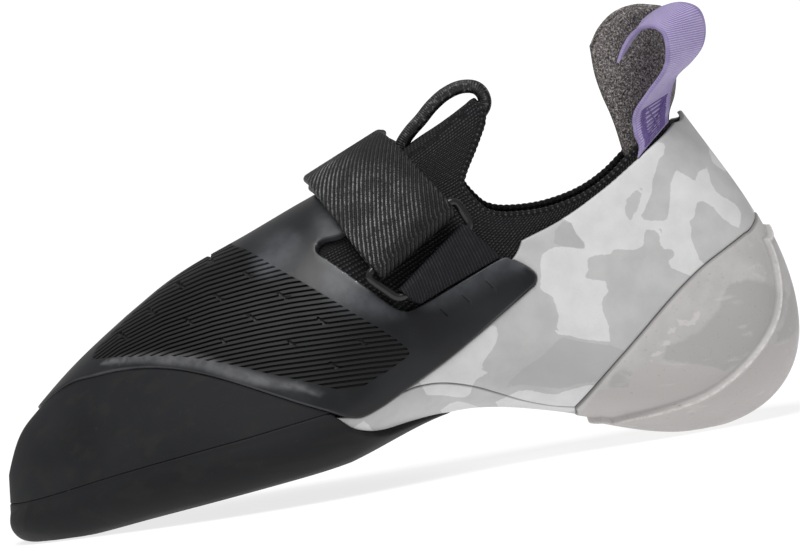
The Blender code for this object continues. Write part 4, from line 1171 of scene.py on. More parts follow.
def suede_look():
    """Grey suede with fine light and dark fibres."""
    look = Look("grey suede", (0.12, 0.11, 0.105), 0.95, specular_ior_level=0.2)
    swirl = look.noise(1.6 * MM, 2)
    waves = look.node("ShaderNodeTexNoise", Vector=look.place, Scale=1 / (1.2 * MM)).outputs["Color"]
    offset = look.node("ShaderNodeVectorMath", Vector=waves)
    offset.operation = "SCALE"
    offset.inputs["Scale"].default_value = 1.6 * MM
    warp = look.node("ShaderNodeVectorMath", Vector=look.place)
    warp.operation = "ADD"
    look.put(warp.inputs[1], offset.outputs[0])
    fibres = look.noise(0.55 * MM, 3, 0.7, warp.outputs[0])
    cloud = look.noise(8 * MM, 3)
    tone = look.blend(cloud, 0.3, 0.7, (0.092, 0.083, 0.082), (0.135, 0.121, 0.118))
    tone = look.blend(fibres, 0.51, 0.62, tone, (0.420, 0.390, 0.375))
    tone = look.blend(fibres, 0.47, 0.36, tone, (0.018, 0.016, 0.016))
    look.colour(tone)
    look.bump((fibres, 0.28 * MM), (swirl, 0.2 * MM))
    return look.made


def lilac_look():
    """Lilac webbing with fine ribs across its width, painted shade between them, and a plain selvedge."""
    look = Look("lilac webbing", (0.36, 0.31, 0.52), 0.6, sheen_weight=0.2)
    ribs = look.wave(look.value("along"), 0.70 * MM)
    weft = look.wave(look.value("across"), 0.5 * MM)
    edge = look.steps(look.value("edge"), 0.9 * MM, 1.4 * MM)
    woven = look.add(look.times(ribs, 0.75), look.times(weft, 0.25))
    height = look.times(woven, look.steps(edge, 0, 1, 0.5, 1.0))
    fade = look.noise(5 * MM, 3)
    # Painted shade in the hollows of the weave and painted highlight on the rib tops
    tone = look.blend(height, 0.20, 0.80, (0.220, 0.170, 0.365), (0.470, 0.392, 0.665))
    tone = look.mix(look.steps(fade, 0.35, 0.75, 0.0, 0.35), tone, (0.46, 0.40, 0.62))
    look.colour(tone)
    look.bump((height, 0.18 * MM), (look.noise(0.3 * MM, 2), 0.03 * MM))
    return look.made


def thread_look():
    """Purple sewing thread."""
    look = Look("purple thread", (0.13, 0.085, 0.27), 0.55)
    look.bump((look.noise(0.35 * MM, 2), 0.06 * MM))
    return look.made


def board_look():
    """Dark cloth of the insole."""
    look = Look("insole cloth", (0.05, 0.05, 0.055), 0.9)
    weave = look.noise(0.8 * MM, 3)
    wear = look.noise(18 * MM, 4)
    look.colour(look.blend(wear, 0.35, 0.7, (0.035, 0.035, 0.040), (0.075, 0.073, 0.072)))
    look.bump((weave, 0.12 * MM))
    return look.made


# Directions of the knit's ribs, in degrees above +X, at shares of the collar edge's length, and the span of
# the places on the edge and its extensions that ribs start from, as shares of that length, with their count
RIB_TURNS = (
    (0, 28), (0.18, 20), (0.30, 17), (0.42, 26), (0.52, 38), (0.62, 47), (0.74, 66), (0.86, 84), (1, 100),
)
RIB_SPAN = (-0.6, 1.35)
RIB_STARTS = 360

# Where the knit faces up more than this, its ribs run straight along the shoe
TOP_SLOPE = 0.80


def collar_edge():
    """Lateral collar edge in side view, with its lengths."""
    line = smooth(COLLAR, 12) * [LENGTH, HEIGHT]
    return line, lengths_along(line)


def rib_rules():
    """Rules for the knit: rib counts across the ribs and row along them, both in metres."""
    line, lengths = collar_edge()
    at = np.linspace(*RIB_SPAN, RIB_STARTS) * lengths[-1]
    places = np.stack([np.interp(at, lengths, line[:, k]) for k in range(2)], axis=1)
    start = (line[1] - line[0]) / (lengths[1] - lengths[0])
    final = (line[-1] - line[-2]) / (lengths[-1] - lengths[-2])
    before, beyond = at < 0, at > lengths[-1]
    places[before] = line[0] + start * at[before, None]
    places[beyond] = line[-1] + final * (at[beyond, None] - lengths[-1])
    turns = np.radians(np.interp(at / lengths[-1], *np.array(RIB_TURNS).T))
    ways = np.stack([np.cos(turns), np.sin(turns)], axis=1)
    memory = {}

    def both(points):
        key = len(points), float(points[:, 0].sum())
        if key not in memory:
            gap = side_places(points)[:, None] - places[None]
            miss = gap[..., 0] * ways[None, :, 1] - gap[..., 1] * ways[None, :, 0]
            crossed = (miss[:, :-1] * miss[:, 1:]) <= 0
            reach = np.linalg.norm(gap, axis=2)
            score = np.where(crossed, reach[:, :-1], np.inf)
            k = np.argmin(score, axis=1)
            lost = ~np.isfinite(score[np.arange(len(k)), k])
            k[lost] = np.argmin(reach[lost][:, :-1], axis=1)
            here = np.arange(len(k))
            share = np.clip(miss[here, k] / (miss[here, k] - miss[here, k + 1] + 1e-12), 0, 1)
            memory[key] = at[k] + share * (at[k + 1] - at[k]), reach[here, k]
        return memory[key]

    def upward(u, v):
        return outward(u, v)[:, 2] > TOP_SLOPE

    return {
        "rib": lambda u, v, p: np.where(upward(u, v), p[:, 1], both(p)[0]),
        "row": lambda u, v, p: np.where(upward(u, v), p[:, 0], both(p)[1]),
    }


def oval(first, final, reach):
    """A long oval round the bottom centre, from one section to another."""
    middle, half = (first + final) / 2, (final - first) / 2
    turns = [2 * math.pi * i / 80 for i in range(80)]
    return [
        (
            middle + half * math.copysign(abs(math.cos(a)) ** 0.8, math.cos(a)),
            reach * math.copysign(abs(math.sin(a)) ** 0.5, math.sin(a)),
        )
        for a in turns
    ]


KNIT = knit_look()


def build_upper():
    """Knitted bootie with a round collar edge."""
    edge = [(STATIONS, 1), *trace(COLLAR, 10), (SLING_BACK - 0.1, 0)]
    outline = [(0, 1), *edge, *mirrored(edge), (0, -1)]
    return panel(
        "knit_bootie", KNIT, [outline], UPPER_WALL, radius=0.9 * MM, out=-UPPER_WALL,
        holes=[oval(*UPPER_OPENING)], values=rib_rules(), open_ridge=True, net=COARSE,
    )


def tube(name, look, path, radii, around, closed=False, values=None):
    """A round cord along a path, with one radius or one for each point."""
    path = np.asarray(path)
    ahead = np.roll(path, -1, axis=0) - np.roll(path, 1, axis=0)
    if not closed:
        ahead[0], ahead[-1] = path[1] - path[0], path[-1] - path[-2]
    ahead = unit(ahead)
    side = np.cross(ahead[0], [0, 0, 1.0])
    sides = []
    for way in ahead:
        side = unit(side - way * np.dot(side, way))
        sides.append(side)
    sides = np.array(sides)
    ups = np.cross(sides, ahead)
    turns = np.linspace(0, 2 * math.pi, around, endpoint=False)
    ring = np.cos(turns)[None, :, None] * sides[:, None] + np.sin(turns)[None, :, None] * ups[:, None]
    points = (path[:, None] + ring * np.broadcast_to(radii, len(path))[:, None, None]).reshape(-1, 3)
    rows = len(path)
    faces = []
    for row in range(rows if closed else rows - 1):
        for i in range(around):
            a, b = row * around + i, row * around + (i + 1) % around
            c, d = (b + around) % (rows * around), (a + around) % (rows * around)
            faces.extend([(a, b, c), (a, c, d)])
    if not closed:
        points = np.vstack([points, path[:1], path[-1:]])
        first, final = rows * around, rows * around + 1
        for i in range(around):
            after = (i + 1) % around
            faces.append((after, i, first))
            faces.append(((rows - 1) * around + i, (rows - 1) * around + after, final))
    lengths = lengths_along(path)
    along = np.repeat(lengths, around)
    across = np.tile(turns * float(np.mean(radii)), rows)
    if not closed:
        along, across = np.append(along, [0, lengths[-1]]), np.append(across, [0, 0])
    shown = {"along": along, "across": across, **(values(along, across) if values else {})}
    return new_mesh(name, points, faces, look, shown)


def resampled(path, spacing):
    """Points at an even spacing along a path."""
    path = np.asarray(path)
    lengths = lengths_along(path)
    at = np.linspace(0, lengths[-1], max(2, round(lengths[-1] / spacing)))
    return np.stack([np.interp(at, lengths, path[:, k]) for k in range(3)], axis=1)


# Rolled edge of the knit: the section where it ends, its radius, how far its scallops stand out, its steps
RIM_END = 19.3
RIM_RADIUS = 1.05 * MM
RIM_SCALLOP = 0.22 * MM
RIM_STEP = 0.25 * MM


def build_collar_rim():
    """Rolled, scalloped edge of the knit, round the collar from one side of the heel tab to the other."""
    half = np.array([place for place in trace(COLLAR, 10) if place[0] < RIM_END])
    paths = [last(half[:, 0], v, -UPPER_WALL / 2) for v in (half[:, 1], 2 - half[:, 1])]
    path = resampled(np.vstack([paths[0][::-1], paths[1]]), RIM_STEP)
    lengths = np.arange(len(path)) * RIM_STEP
    radii = RIM_RADIUS + RIM_SCALLOP * np.abs(np.sin(math.pi * lengths / SCALLOP))

    def stitches(along, across):
        return {"rib": along * KNIT_PITCH / SCALLOP, "row": across}

    return tube("collar_rim", KNIT, path, radii, 12, values=stitches)


# Ribbed zone of the toe patch, charted on the photograph's pixels, and its grooves
RIB_ZONE = (
    (97, 366), (106, 363.5), (119, 361), (135, 359.5), (150, 358), (164, 357), (177, 356.5),
    (190, 356.5), (202, 357.5), (213, 359.5), (225, 360.5), (236, 362.5), (248, 364.5), (257, 366.5),
    (268, 369), (279, 371), (290, 373), (299, 375), (310, 377), (320, 379.5), (330, 382), (340, 384),
    (352, 384), (365, 378), (376, 370), (384, 366), (392, 360), (402, 353), (407, 348), (405, 343),
    (394, 334), (376, 322), (358, 312), (340, 301), (322, 291), (304, 281), (286, 272), (264, 260),
    (250, 254), (234, 252), (213, 260), (190, 278), (165, 297), (140, 319), (118, 340), (103, 355),
)
GROOVE_PITCH = 1.50 * MM
GROOVE_WIDTH = 0.46 * MM
GROOVE_RAMP = 0.11 * MM
GROOVE_DEPTH = 0.70 * MM
GROOVE_TURN = 0.35

# Along the patch, in millimetres behind the toe: the height of the groove counted as 0, in millimetres, and
# how far grooves lie apart as a share of their pitch
GROOVE_HEIGHTS = (
    (25, 35, 45, 60, 75, 90, 100, 120, 150),
    (34.4, 38.9, 42.2, 45, 46.6, 47.6, 48.0, 48.2, 47.9),
)
GROOVE_FAN = ((20, 30, 45, 60, 75, 100, 125, 150), (0.485, 0.57, 0.70, 0.815, 0.905, 1.0, 1.01, 1.0))

# How deep inside the zone grooves end: the bank's line and the floor's line, and the ramp between them
BANK_INSIDE = 0.05 * MM
FLOOR_INSIDE = 0.30 * MM
ZONE_RAMP = (0.06 * MM, 0.29 * MM)

# Short cuts across the ribs and on the arm: their middles on the photograph's pixels and their turns in
# side view, in degrees
NOTCHES = (
    (129, 340.5), (157, 316), (186.5, 291), (214.5, 266), (193.6, 323), (221.5, 298.5), (250, 276),
    (227, 340), (256, 317), (284, 294.5), (293.5, 340), (321.5, 317), (333.5, 359.5), (362, 337.5),
)
NOTCH_TURN = -46
ARM_TICKS = ((441, 308), (463, 294), (487, 280.5))
TICK_TURN = 128

# Soft smears of painted sheen and highlight, and of dust, charted on the photograph's pixels
PAINTED_SHEEN_PATHS = (
    ((415, 300), (440, 286), (470, 269), (500, 258), (520, 262)), ((262, 272), (280, 258), (300, 240)),
    ((340, 204), (336, 222), (330, 236)), ((400, 310), (350, 290), (330, 276)),
)
BORDER_HIGHLIGHT_PATHS = (
    (
        (108, 367), (135, 361), (160, 359), (185, 359), (206, 361), (226, 366), (246, 372), (270, 377),
        (300, 382), (326, 390),
    ),
)
DUST_PATHS = (
    ((318, 244), (334, 258), (350, 272), (364, 284)),
    ((394, 297), (412, 293), (432, 280), (452, 268)),
)

# Sections that the groove count covers
PATCH_U = (2.1, 9.0)


def groove_table():
    """Places along the patch, round it from the side to the ridge, and a height-like value at each.

    The value falls from the ridge by the height, and a little also by the way round, so that grooves at
    even steps of it lie closer in the view where the surface turns away.
    """
    us, vs = np.linspace(*PATCH_U, 221), np.linspace(0.25, 1, 151)
    tables = []
    for side in (1, -1):
        grid_u, grid_v = (each.ravel() for each in np.meshgrid(us, 1 - side * (1 - vs), indexing="ij"))
        points = base(grid_u, grid_v).reshape(len(us), len(vs), 3)
        moved = np.diff(points, axis=1)
        steps = np.sqrt(moved[..., 2] ** 2 + (GROOVE_TURN * moved[..., 1]) ** 2)
        below = np.concatenate([np.cumsum(steps[:, ::-1], axis=1)[:, ::-1], np.zeros((len(us), 1))], axis=1)
        behind = (points[..., 0] + LENGTH / 2) / MM
        heights = (points[:, -1:, 2] - below) / MM - np.interp(behind, *GROOVE_HEIGHTS)
        tables.append(heights / np.interp(behind, *GROOVE_FAN) * MM)
    return us, vs, tables


def on_table(us, vs, table, u, v):
    """Value between the places of a table."""
    a = np.clip((u - us[0]) / (us[1] - us[0]), 0, len(us) - 1.001)
    b = np.clip((v - vs[0]) / (vs[1] - vs[0]), 0, len(vs) - 1.001)
    i, j = a.astype(int), b.astype(int)
    a, b = a - i, b - j
    low = table[i, j] * (1 - b) + table[i, j + 1] * b
    high = table[i + 1, j] * (1 - b) + table[i + 1, j + 1] * b
    return low * (1 - a) + high * a


def stretches(chart, depth, least):
    """Parts of a chart line where a depth is over a least value, cut off exactly there."""
    over = depth > least
    parts = []
    for a, b in runs_of(over):
        part = [tuple(place) for place in chart[a:b]]
        if a > 0:
            share = (least - depth[a - 1]) / (depth[a] - depth[a - 1])
            part.insert(0, tuple(chart[a - 1] + (chart[a] - chart[a - 1]) * share))
        if b < len(chart):
            share = (depth[b - 1] - least) / (depth[b - 1] - depth[b])
            part.append(tuple(chart[b - 1] + (chart[b] - chart[b - 1]) * share))
        if len(part) > 3:
            parts.append(part[:1] + part[2:-2:2] + part[-1:])
    return parts


def groove_lines(zone, us, vs, tables):
    """Closed chart lines round every groove and round its floor, inside the ribbed zone."""
    lines = []
    half = GROOVE_WIDTH / 2
    for side, table in zip((1, -1), tables):
        table = np.maximum.accumulate(table, axis=1)
        first, final = math.floor(table.min() / GROOVE_PITCH), math.ceil(table.max() / GROOVE_PITCH)
        for k in range(first, final + 1):
            for bank, least in ((half + GROOVE_RAMP, BANK_INSIDE), (half, FLOOR_INSIDE)):
                pair = []
                for shift in (-bank, bank):
                    target = k * GROOVE_PITCH + shift
                    chart = np.array([
                        (u, 1 - side * (1 - np.interp(target, row, vs)))
                        for u, row in zip(us, table) if row[0] < target < row[-1]
                    ])
                    if len(chart) < 5:
                        break
                    places = side_places(base(chart[:, 0], chart[:, 1]))
                    pair.append(stretches(chart, within(zone, places), least))
                if len(pair) == 2 and len(pair[0]) == len(pair[1]):
                    lines.extend(([*there, *reversed(back)], True) for there, back in zip(*pair))
                else:
                    lines.extend((part, False) for parts in pair for part in parts)
    return lines


def runs_of(mask):
    """Stretches of a mask that are true, as (first, after last)."""
    padded = np.concatenate([[False], mask, [False]])
    turns = np.flatnonzero(padded[1:] != padded[:-1])
    return list(zip(turns[::2], turns[1::2]))


def slots():
    """Short cuts in side view, each (start, end, half width, depth)."""
    found = []
    for places, turn, reach, half, depth in (
        (NOTCHES, NOTCH_TURN, 1.15 * MM, 0.38 * MM, GROOVE_DEPTH * 1.15),
        (ARM_TICKS, TICK_TURN, 1.5 * MM, 0.16 * MM, 0.30 * MM),
    ):
        way = np.array([math.cos(math.radians(turn)), math.sin(math.radians(turn))])
        for middle in side_view(places):
            found.append((middle - way * reach, middle + way * reach, half, depth))
    return found


def slot_lines(cuts):
    """Chart loops round each cut, on both sides of the shoe."""
    lines = []
    for start, end, half, _ in cuts:
        way = (end - start) / np.linalg.norm(end - start)
        across = np.array([-way[1], way[0]])
        for spread in (half, half + GROOVE_RAMP):
            corners = np.array([
                tip + across * spread * side + way * (spread - half) * ahead
                for tip, side, ahead in ((start, -1, -1), (end, -1, 1), (end, 1, 1), (start, 1, -1))
            ])
            chart = on_side(corners[:, 0], corners[:, 1])
            lines.append((chart, True))
            lines.append(([(u, 2 - v) for u, v in chart], True))
    return lines


def build_patch(look):
    """Toe patch with its ribbed zone and the arm on each side."""
    side = [*chart_curve(PATCH_NOSE)[:-1], *trace(PATCH_EDGE), *trace(ARM_FRONT)]
    for table in (ARM_LOWER, ARM_END, ARM_UPPER, CUT_OUT, CUT_TOP):
        side += trace(table)[1:]
    side.append((PATCH_BACK, 1))
    zone = side_view(RIB_ZONE)
    us, vs, tables = groove_table()
    cuts = slots()

    def bare(points):
        return within(zone, side_places(points)) > -0.25 * MM

    def relief(u, v, points):
        places = side_places(points)
        value = np.where(v <= 1, on_table(us, vs, tables[0], u, v), on_table(us, vs, tables[1], u, 2 - v))
        off = np.abs(value - np.round(value / GROOVE_PITCH) * GROOVE_PITCH)
        bank = GROOVE_WIDTH / 2
        groove = GROOVE_DEPTH * (1 - step_on(off, bank, bank + GROOVE_RAMP))
        cut = groove * step_on(within(zone, places), *ZONE_RAMP)
        for start, end, half, depth in cuts:
            away = distance_to(np.array([start, end]), places, False)
            cut = np.maximum(cut, depth * (1 - step_on(away, half, half + GROOVE_RAMP)))
        return -cut

    lines = [*groove_lines(zone, us, vs, tables), *slot_lines(cuts)]
    values = {
        "zone": patches([RIB_ZONE]), "painted_sheen": smears(PAINTED_SHEEN_PATHS, 9 * MM),
        "border_highlight": smears(BORDER_HIGHLIGHT_PATHS, 3.4 * MM), "dust": smears(DUST_PATHS, 3.5 * MM),
    }
    return panel(
        "toe_patch_rubber", look, [both_sides(side, 1)], PATCH_WALL, radius=0.6 * MM, lines=lines, bare=bare,
        relief=relief, values=values,
    )


def sole_wall(u, v):
    """The sole's wall in metres, thin up the side, round the nose and towards the arch."""
    edge = 0.40 - SOLE_BEVEL * np.clip(1 - u / 1.5, 0, 1)
    across = np.clip((edge - np.abs(v)) / SOLE_BEVEL, 0, 1)
    nose = SOLE_NOSE + (1 - SOLE_NOSE) * step_on(u, 0, 1.2)
    along = np.clip((SOLE_TAIL[-1][0] - u) / SOLE_FADE, 0, 1) * nose
    least = SOLE_EDGE_WALL / SOLE_WALL
    return SOLE_WALL * (least + (1 - least) * across * along)


def on_floor(thing):
    """Nothing of the piece reaches below the floor."""
    for vert in thing.data.vertices:
        vert.co.z = max(vert.co.z, 0)
    return thing


def build_sole(look):
    """Sole from the toe to the arch, thin at its edges."""
    side = [*trace(SOLE_LINE)[:-1], *chart_curve(SOLE_TAIL)]
    outline = [*side, *mirrored(side)[1:]]
    return on_floor(panel("rubber_sole", look, [outline], sole_wall, radius=0.7 * MM))


def build_rand(look):
    """Strip round the toe between the sole and the patch, in two halves that meet at the tip."""
    half = [*trace(SOLE_LINE), *reversed(trace(PATCH_EDGE)), *chart_curve(PATCH_NOSE)[-2::-1], (0, 1)]
    halves = [half, mirrored(half)]
    return panel("toe_rand_rubber", look, halves, RAND_WALL, radius=0.35 * MM, open_ridge=True)


CAMO_VALUES = {
    "light_patch": patches(LIGHT_PATCHES), "dark_patch": patches(DARK_PATCHES), "height": height_of,
}


def build_sling(look):
    """Band from under the collar round the sides to the arch."""
    side = [(SLING_BACK, 0), *trace(SLING_TOP), *reversed(trace(ARM_END)), *trace(ARM_LOWER)[-2::-1]]
    side += [*trace(ARCH_CREASE)[1:], *trace(HEEL_CREASE)[1:-1], *chart_curve(CREASE_BACK)]
    return panel("sling_rubber", look, [both_sides(side)], RAND_WALL, radius=0.8 * MM, values=CAMO_VALUES)


def build_arch(look):
    """Panel under the arch, from the sole's tail to the heel."""
    front = [place for place in chart_curve(SOLE_TAIL) if place[0] > ARCH_SIDE_FROM]
    arm = [place for place in trace(ARM_FRONT) if place[0] > ARCH_ARM_FROM]
    side = [*reversed(front), *arm, *trace(ARCH_CREASE)[1:], (ARCH_END, 0)]
    return panel("arch_rubber", look, [both_sides(side)], RAND_WALL, radius=0.4 * MM, values=CAMO_VALUES)


# Bead along the cap's edge: its height, how far inside the edge it lies, its width, and the cap's step
BEAD_HEIGHT = 0.55 * MM
BEAD_INSIDE = 0.40 * MM
BEAD_WIDTH = 0.45 * MM
CAP_STEP = (-0.9 * MM, 0.4 * MM)
CAP_LINES = (-0.9, -0.5, -0.15, 0.2, 0.5, 0.8, 1.2, 1.7, 2.4)


def build_heel(look):
    """Heel cup with its raised cap, and a bead along the cap's edge."""
    side = [(ARCH_END, 0), *trace(HEEL_CREASE)[:-1], *chart_curve(CREASE_BACK)]
    edge = seen_places(smooth(CAP_PIXELS, 5), LAYER_GAP + HEEL_CAP_WALL)
    cap = [*CAP_FRONT, *(place for place in edge if place[0] > CAP_FRONT[-1][0] + 0.1), *CAP_BACK]
    loop = divided(FINE, both_sides(cap))
    tree = tree_of(base(*from_lattice(FINE, loop).T))
    lines = [(from_lattice(FINE, inset(FINE, loop, shift * MM, False)), True) for shift in CAP_LINES]

    def from_rim(u, v, points):
        away = distances(tree, points)
        inner = inside(loop, to_lattice(FINE, np.stack([u, v], axis=1)))
        return np.where(inner, away, -away)

    def relief(u, v, points):
        away = from_rim(u, v, points)
        step = (HEEL_CAP_WALL - HEEL_CUP_WALL) * step_on(away, *CAP_STEP)
        return step + BEAD_HEIGHT * np.exp(-((away - BEAD_INSIDE) / BEAD_WIDTH) ** 2)

    values = {
        "heel_light": patches(HEEL_LIGHT_PATCHES), "heel_dark": patches(HEEL_DARK_PATCHES),
        "scuff": lines_near(SCUFFS), "cap": from_rim,
    }
    return on_floor(panel(
        "heel_rubber", look, [both_sides(side)], HEEL_CUP_WALL, radius=1.0 * MM, relief=relief, lines=lines,
        values=values,
    ))


# Strap's path: steps t of its sewn end, of the part that lies double, and turns round the ring in degrees.
# Then where its sewn end drops to the last, and where the folded-back part comes down
STRAP_SEWN = (1.96, 1.88, 1.8, 1.7, 1.58, 1.45)
STRAP_STEPS = (1.3, 1.15, 1.0, 0.85, 0.7, 0.55, 0.4, 0.25, 0.12, 0)
STRAP_TURNS = (30, 60, 90, 120, 150)
STRAP_DROP = (1.62, 1.90)
STRAP_SETTLE = (0, 0.35)

# Line near which the painted glints on the webbing are brightest, charted on the photograph's pixels
STRAP_GLINT_LINE = ((328, 182), (392, 196), (380, 214), (362, 238))


def strap_edge(t, edge):
    """Chart place on one edge of the strap: t is 0 at the ring, 1 on the ridge, 2 on the medial side."""
    ring, ridge = edge
    near = trace([ring])[0]
    return near[0] + (ridge - near[0]) * math.sin(math.pi * t / 2), near[1] + (1 - near[1]) * t


def strap_path():
    """Steps along the strap from its medial end, round the ring and back over itself.

    Each step is t, the distance out from the last and the length that it lies beyond the ring's edge.
    """
    low, half = STRAP_LIFT + STRAP_WALL / 2, STRAP_WALL / 2
    above = low + STRAP_WALL + 2 * GAP
    turn = RING_WIRE / 2 + GAP + half
    centre = low + turn
    path = []
    for t in (*STRAP_SEWN, *STRAP_STEPS):
        drop = (STRAP_LIFT - STRAP_END_LIFT) * step_on(t, *STRAP_DROP)
        path.append((t, low - drop, 0))
    for angle in np.radians(STRAP_TURNS):
        path.append((0, centre - turn * math.cos(angle), turn * math.sin(angle)))
    for t in reversed(STRAP_STEPS):
        lift = (2 * turn - STRAP_WALL - 2 * GAP) * (1 - step_on(t, *STRAP_SETTLE))
        path.append((t, above + lift, 0))
    return path


def strap_ribs(along, across):
    """Low ribs that run diagonally over the strap."""
    count = across * STRAP_ACROSS + along * STRAP_ALONG
    return STRAP_RELIEF * (np.abs(np.sin(math.pi * count / STRAP_PITCH)) - 0.6)


def build_strap(look):
    """Strap through the ring and back over itself."""
    edges = []
    for edge in STRAP_EDGES:
        foot, above = (last(*strap_edge(t, edge))[0] for t in (0, 0.05))
        down = unit(foot - above)
        edges.append([last(*strap_edge(t, edge), out)[0] + down * beyond for t, out, beyond in strap_path()])
    grid = between(*edges, STRAP_WALL, STRAP_STEP, 13)
    wear_and_sheen = lines_near([STRAP_GLINT_LINE])(0, 0, grid.reshape(-1, 3)).reshape(grid.shape[:2])
    return sheet_solid("strap_webbing", look, grid, STRAP_WALL, relief=strap_ribs, values={"wear_and_sheen": wear_and_sheen})


def ring_places():
    """Ring corners: upper left, upper right, lower right, lower left."""
    high = STRAP_LIFT + STRAP_WALL + GAP + RING_WIRE / 2
    outs = high, high, RING_LOW, RING_LOW
    return [last(*trace([corner])[0], out)[0] for corner, out in zip(RING_CORNERS, outs)]


def build_ring(look):
    """Wire rectangle with round corners."""
    corners = ring_places()
    points = []
    for i, corner in enumerate(corners):
        before = unit(corners[i - 1] - corner)
        after = unit(corners[(i + 1) % 4] - corner)
        for share in np.linspace(0, 1, 9):
            points.append(corner + RING_CORNER * ((1 - share) ** 2 * before + share**2 * after))
    return tube("strap_ring_wire", look, points, RING_WIRE / 2, 16, closed=True)


def build_keeper(look):
    """Webbing folded round the lower bar of the ring."""
    upper_left, upper_right, lower_right, lower_left = KEEPER_CORNERS
    *_, right_bar, left_bar = ring_places()
    turn = RING_WIRE / 2 + LAYER_GAP + KEEPER_WALL / 2
    edges = []
    for bar_end, arm_end in ((upper_left, lower_left), (upper_right, lower_right)):
        foot = trace([arm_end])[0]
        inner = last(*foot, KEEPER_LIFT)[0]
        outer = last(*foot, KEEPER_LIFT + KEEPER_WALL + 2 * GAP)[0]
        end = np.array(trace([bar_end]))
        near = last(*end[0])[0]
        along = unit(right_bar - left_bar)
        centre = left_bar + along * np.dot(near - left_bar, along)
        out = outward(*end.T)[0]
        up = unit(np.cross(along, out))
        up = up if up[2] > 0 else -up
        line = [inner, inner * 0.6 + (centre - out * turn - up * turn) * 0.4]
        for angle in np.radians((0, *STRAP_TURNS, 180)):
            line.append(centre - out * turn * math.cos(angle) + up * turn * math.sin(angle))
        line.extend([outer * 0.4 + (centre + out * turn - up * turn) * 0.6, outer])
        edges.append(line)
    return sheet_solid("keeper_twill", look, between(*edges, KEEPER_WALL, SHEET_STEP, 8), KEEPER_WALL)


def build_tongue_loop(look):
    """Folded pull loop that stands on the tongue."""
    line = smooth(TONGUE_LOOP, 12) * [LENGTH, HEIGHT] - [LENGTH / 2, 0]
    ridge = SECTIONS[MIRRORED + TONGUE_STATION][5]
    left, right = (np.insert(line, 1, ridge + side * TONGUE_LOOP_WIDTH / 2, axis=1) for side in (-1, 1))
    grid = between(left, right, TONGUE_LOOP_WALL, SHEET_STEP, 2)
    return sheet_solid("tongue_pull_loop", look, grid, TONGUE_LOOP_WALL)


def build_heel_tab(look):
    """Suede tab, a U round the back of the heel."""
    table = smooth(HEEL_TAB, 12)
    low, high = HEEL_TAB[0][0], HEEL_TAB[-1][0]
    ways = 2 * shares_across(2 * HEEL_WIDTH, TAB_WALL / 2, 0.9 * MM) - 1
    crown = smooth(np.array(TAB_TOP).T, 6)
    rows = []
    for height, front, back, half in table:
        turn = ways * math.pi / 2
        top = np.interp(np.abs(ways), crown[:, 0], crown[:, 1])
        x = front + (back - front) * np.cos(turn)
        z = low + (height - low) * (high * top - low) / (high - low)
        rows.append(np.stack([x * LENGTH - LENGTH / 2, half * np.sin(turn) * HEEL_WIDTH, z * HEIGHT], axis=1))
    return sheet_solid("suede_tab", look, np.array(rows), TAB_WALL)


def heel_loop_edges(steps):
    """Points along the near and the far edge of the heel's pull loop."""
    rows = smooth(HEEL_LOOP, steps)
    edges = (rows[:, at : at + 3] * [LENGTH, HEIGHT, HEEL_WIDTH] - [LENGTH / 2, 0, 0] for at in (0, 3))
    return [edge[:, [0, 2, 1]] for edge in edges]


# Stitching of the heel's pull loop: its first and last step along the loop, its rows, their span across the
# loop, the turns of the zigzags and the span of each, and the thread's radius
BARTACK_STEPS = (9, 62)
BARTACK_ROWS = 11
BARTACK_SPAN = (0.20, 0.84)
BARTACK_TURNS = 40
BARTACK_SIDES = ((0.16, 0.32), (0.68, 0.86))
THREAD_RADIUS = 0.16 * MM


def build_heel_loop(look):
    """Webbing pull loop at the heel."""
    grid = between(*heel_loop_edges(10), WEBBING_WALL, SHEET_STEP, 2)
    return sheet_solid("lilac_loop", look, grid, WEBBING_WALL)


def build_bartack(look):
    """Stitching that holds the foot of the lilac loop: rows across it, and a zigzag down each side."""
    left, right = heel_loop_edges(20)
    out = WEBBING_WALL / 2 + 0.05 * MM

    def place(row, across):
        k = int(row)
        a, b = (edge[k] + (edge[k + 1] - edge[k]) * (row - k) for edge in (left, right))
        normal = unit(np.cross(left[k + 1] - left[k], b - a))
        normal = normal if normal[1] < 0 else -normal
        return a + (b - a) * across + normal * out

    path = []
    across = np.linspace(*BARTACK_SPAN, 9)
    for i, row in enumerate(np.linspace(*BARTACK_STEPS, BARTACK_ROWS)):
        path.extend(place(row, share) for share in (across if i % 2 == 0 else across[::-1]))
    for low, high in BARTACK_SIDES:
        turns = np.linspace(*BARTACK_STEPS, BARTACK_TURNS)
        path.extend(place(row, high if i % 2 else low) for i, row in enumerate(turns))
    return tube("bartack_thread", look, resampled(np.array(path), 0.35 * MM), THREAD_RADIUS, 6)


def build_all():
    """Every piece; each placed one hides the node of the model that it stands for."""
    rubber, camo = patch_look(), camo_look()
    placed(build_upper(), "upper")
    detail(build_collar_rim(), "knit")
    placed(build_patch(rubber), "toe_patch")
    placed(build_sole(sole_look("sole rubber", 0.72)), "outsole")
    placed(build_rand(sole_look("rand rubber", 0.92)), "toe_rand")
    placed(build_sling(camo), "sling_rand")
    placed(build_arch(camo), "arch_panel")
    placed(build_heel(heel_look()), "heel_cup")
    placed(build_strap(strap_look()), "strap")
    placed(build_ring(ring_look()), "strap_ring")
    placed(build_keeper(twill_look()), "ring_keeper")
    placed(build_tongue_loop(loop_look()), "tongue_loop")
    placed(build_heel_tab(suede_look()), "heel_tab")
    placed(build_heel_loop(lilac_look()), "heel_loop")
    detail(build_bartack(thread_look()), "lilac_web")
    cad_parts["insole"].data.materials[0] = board_look()


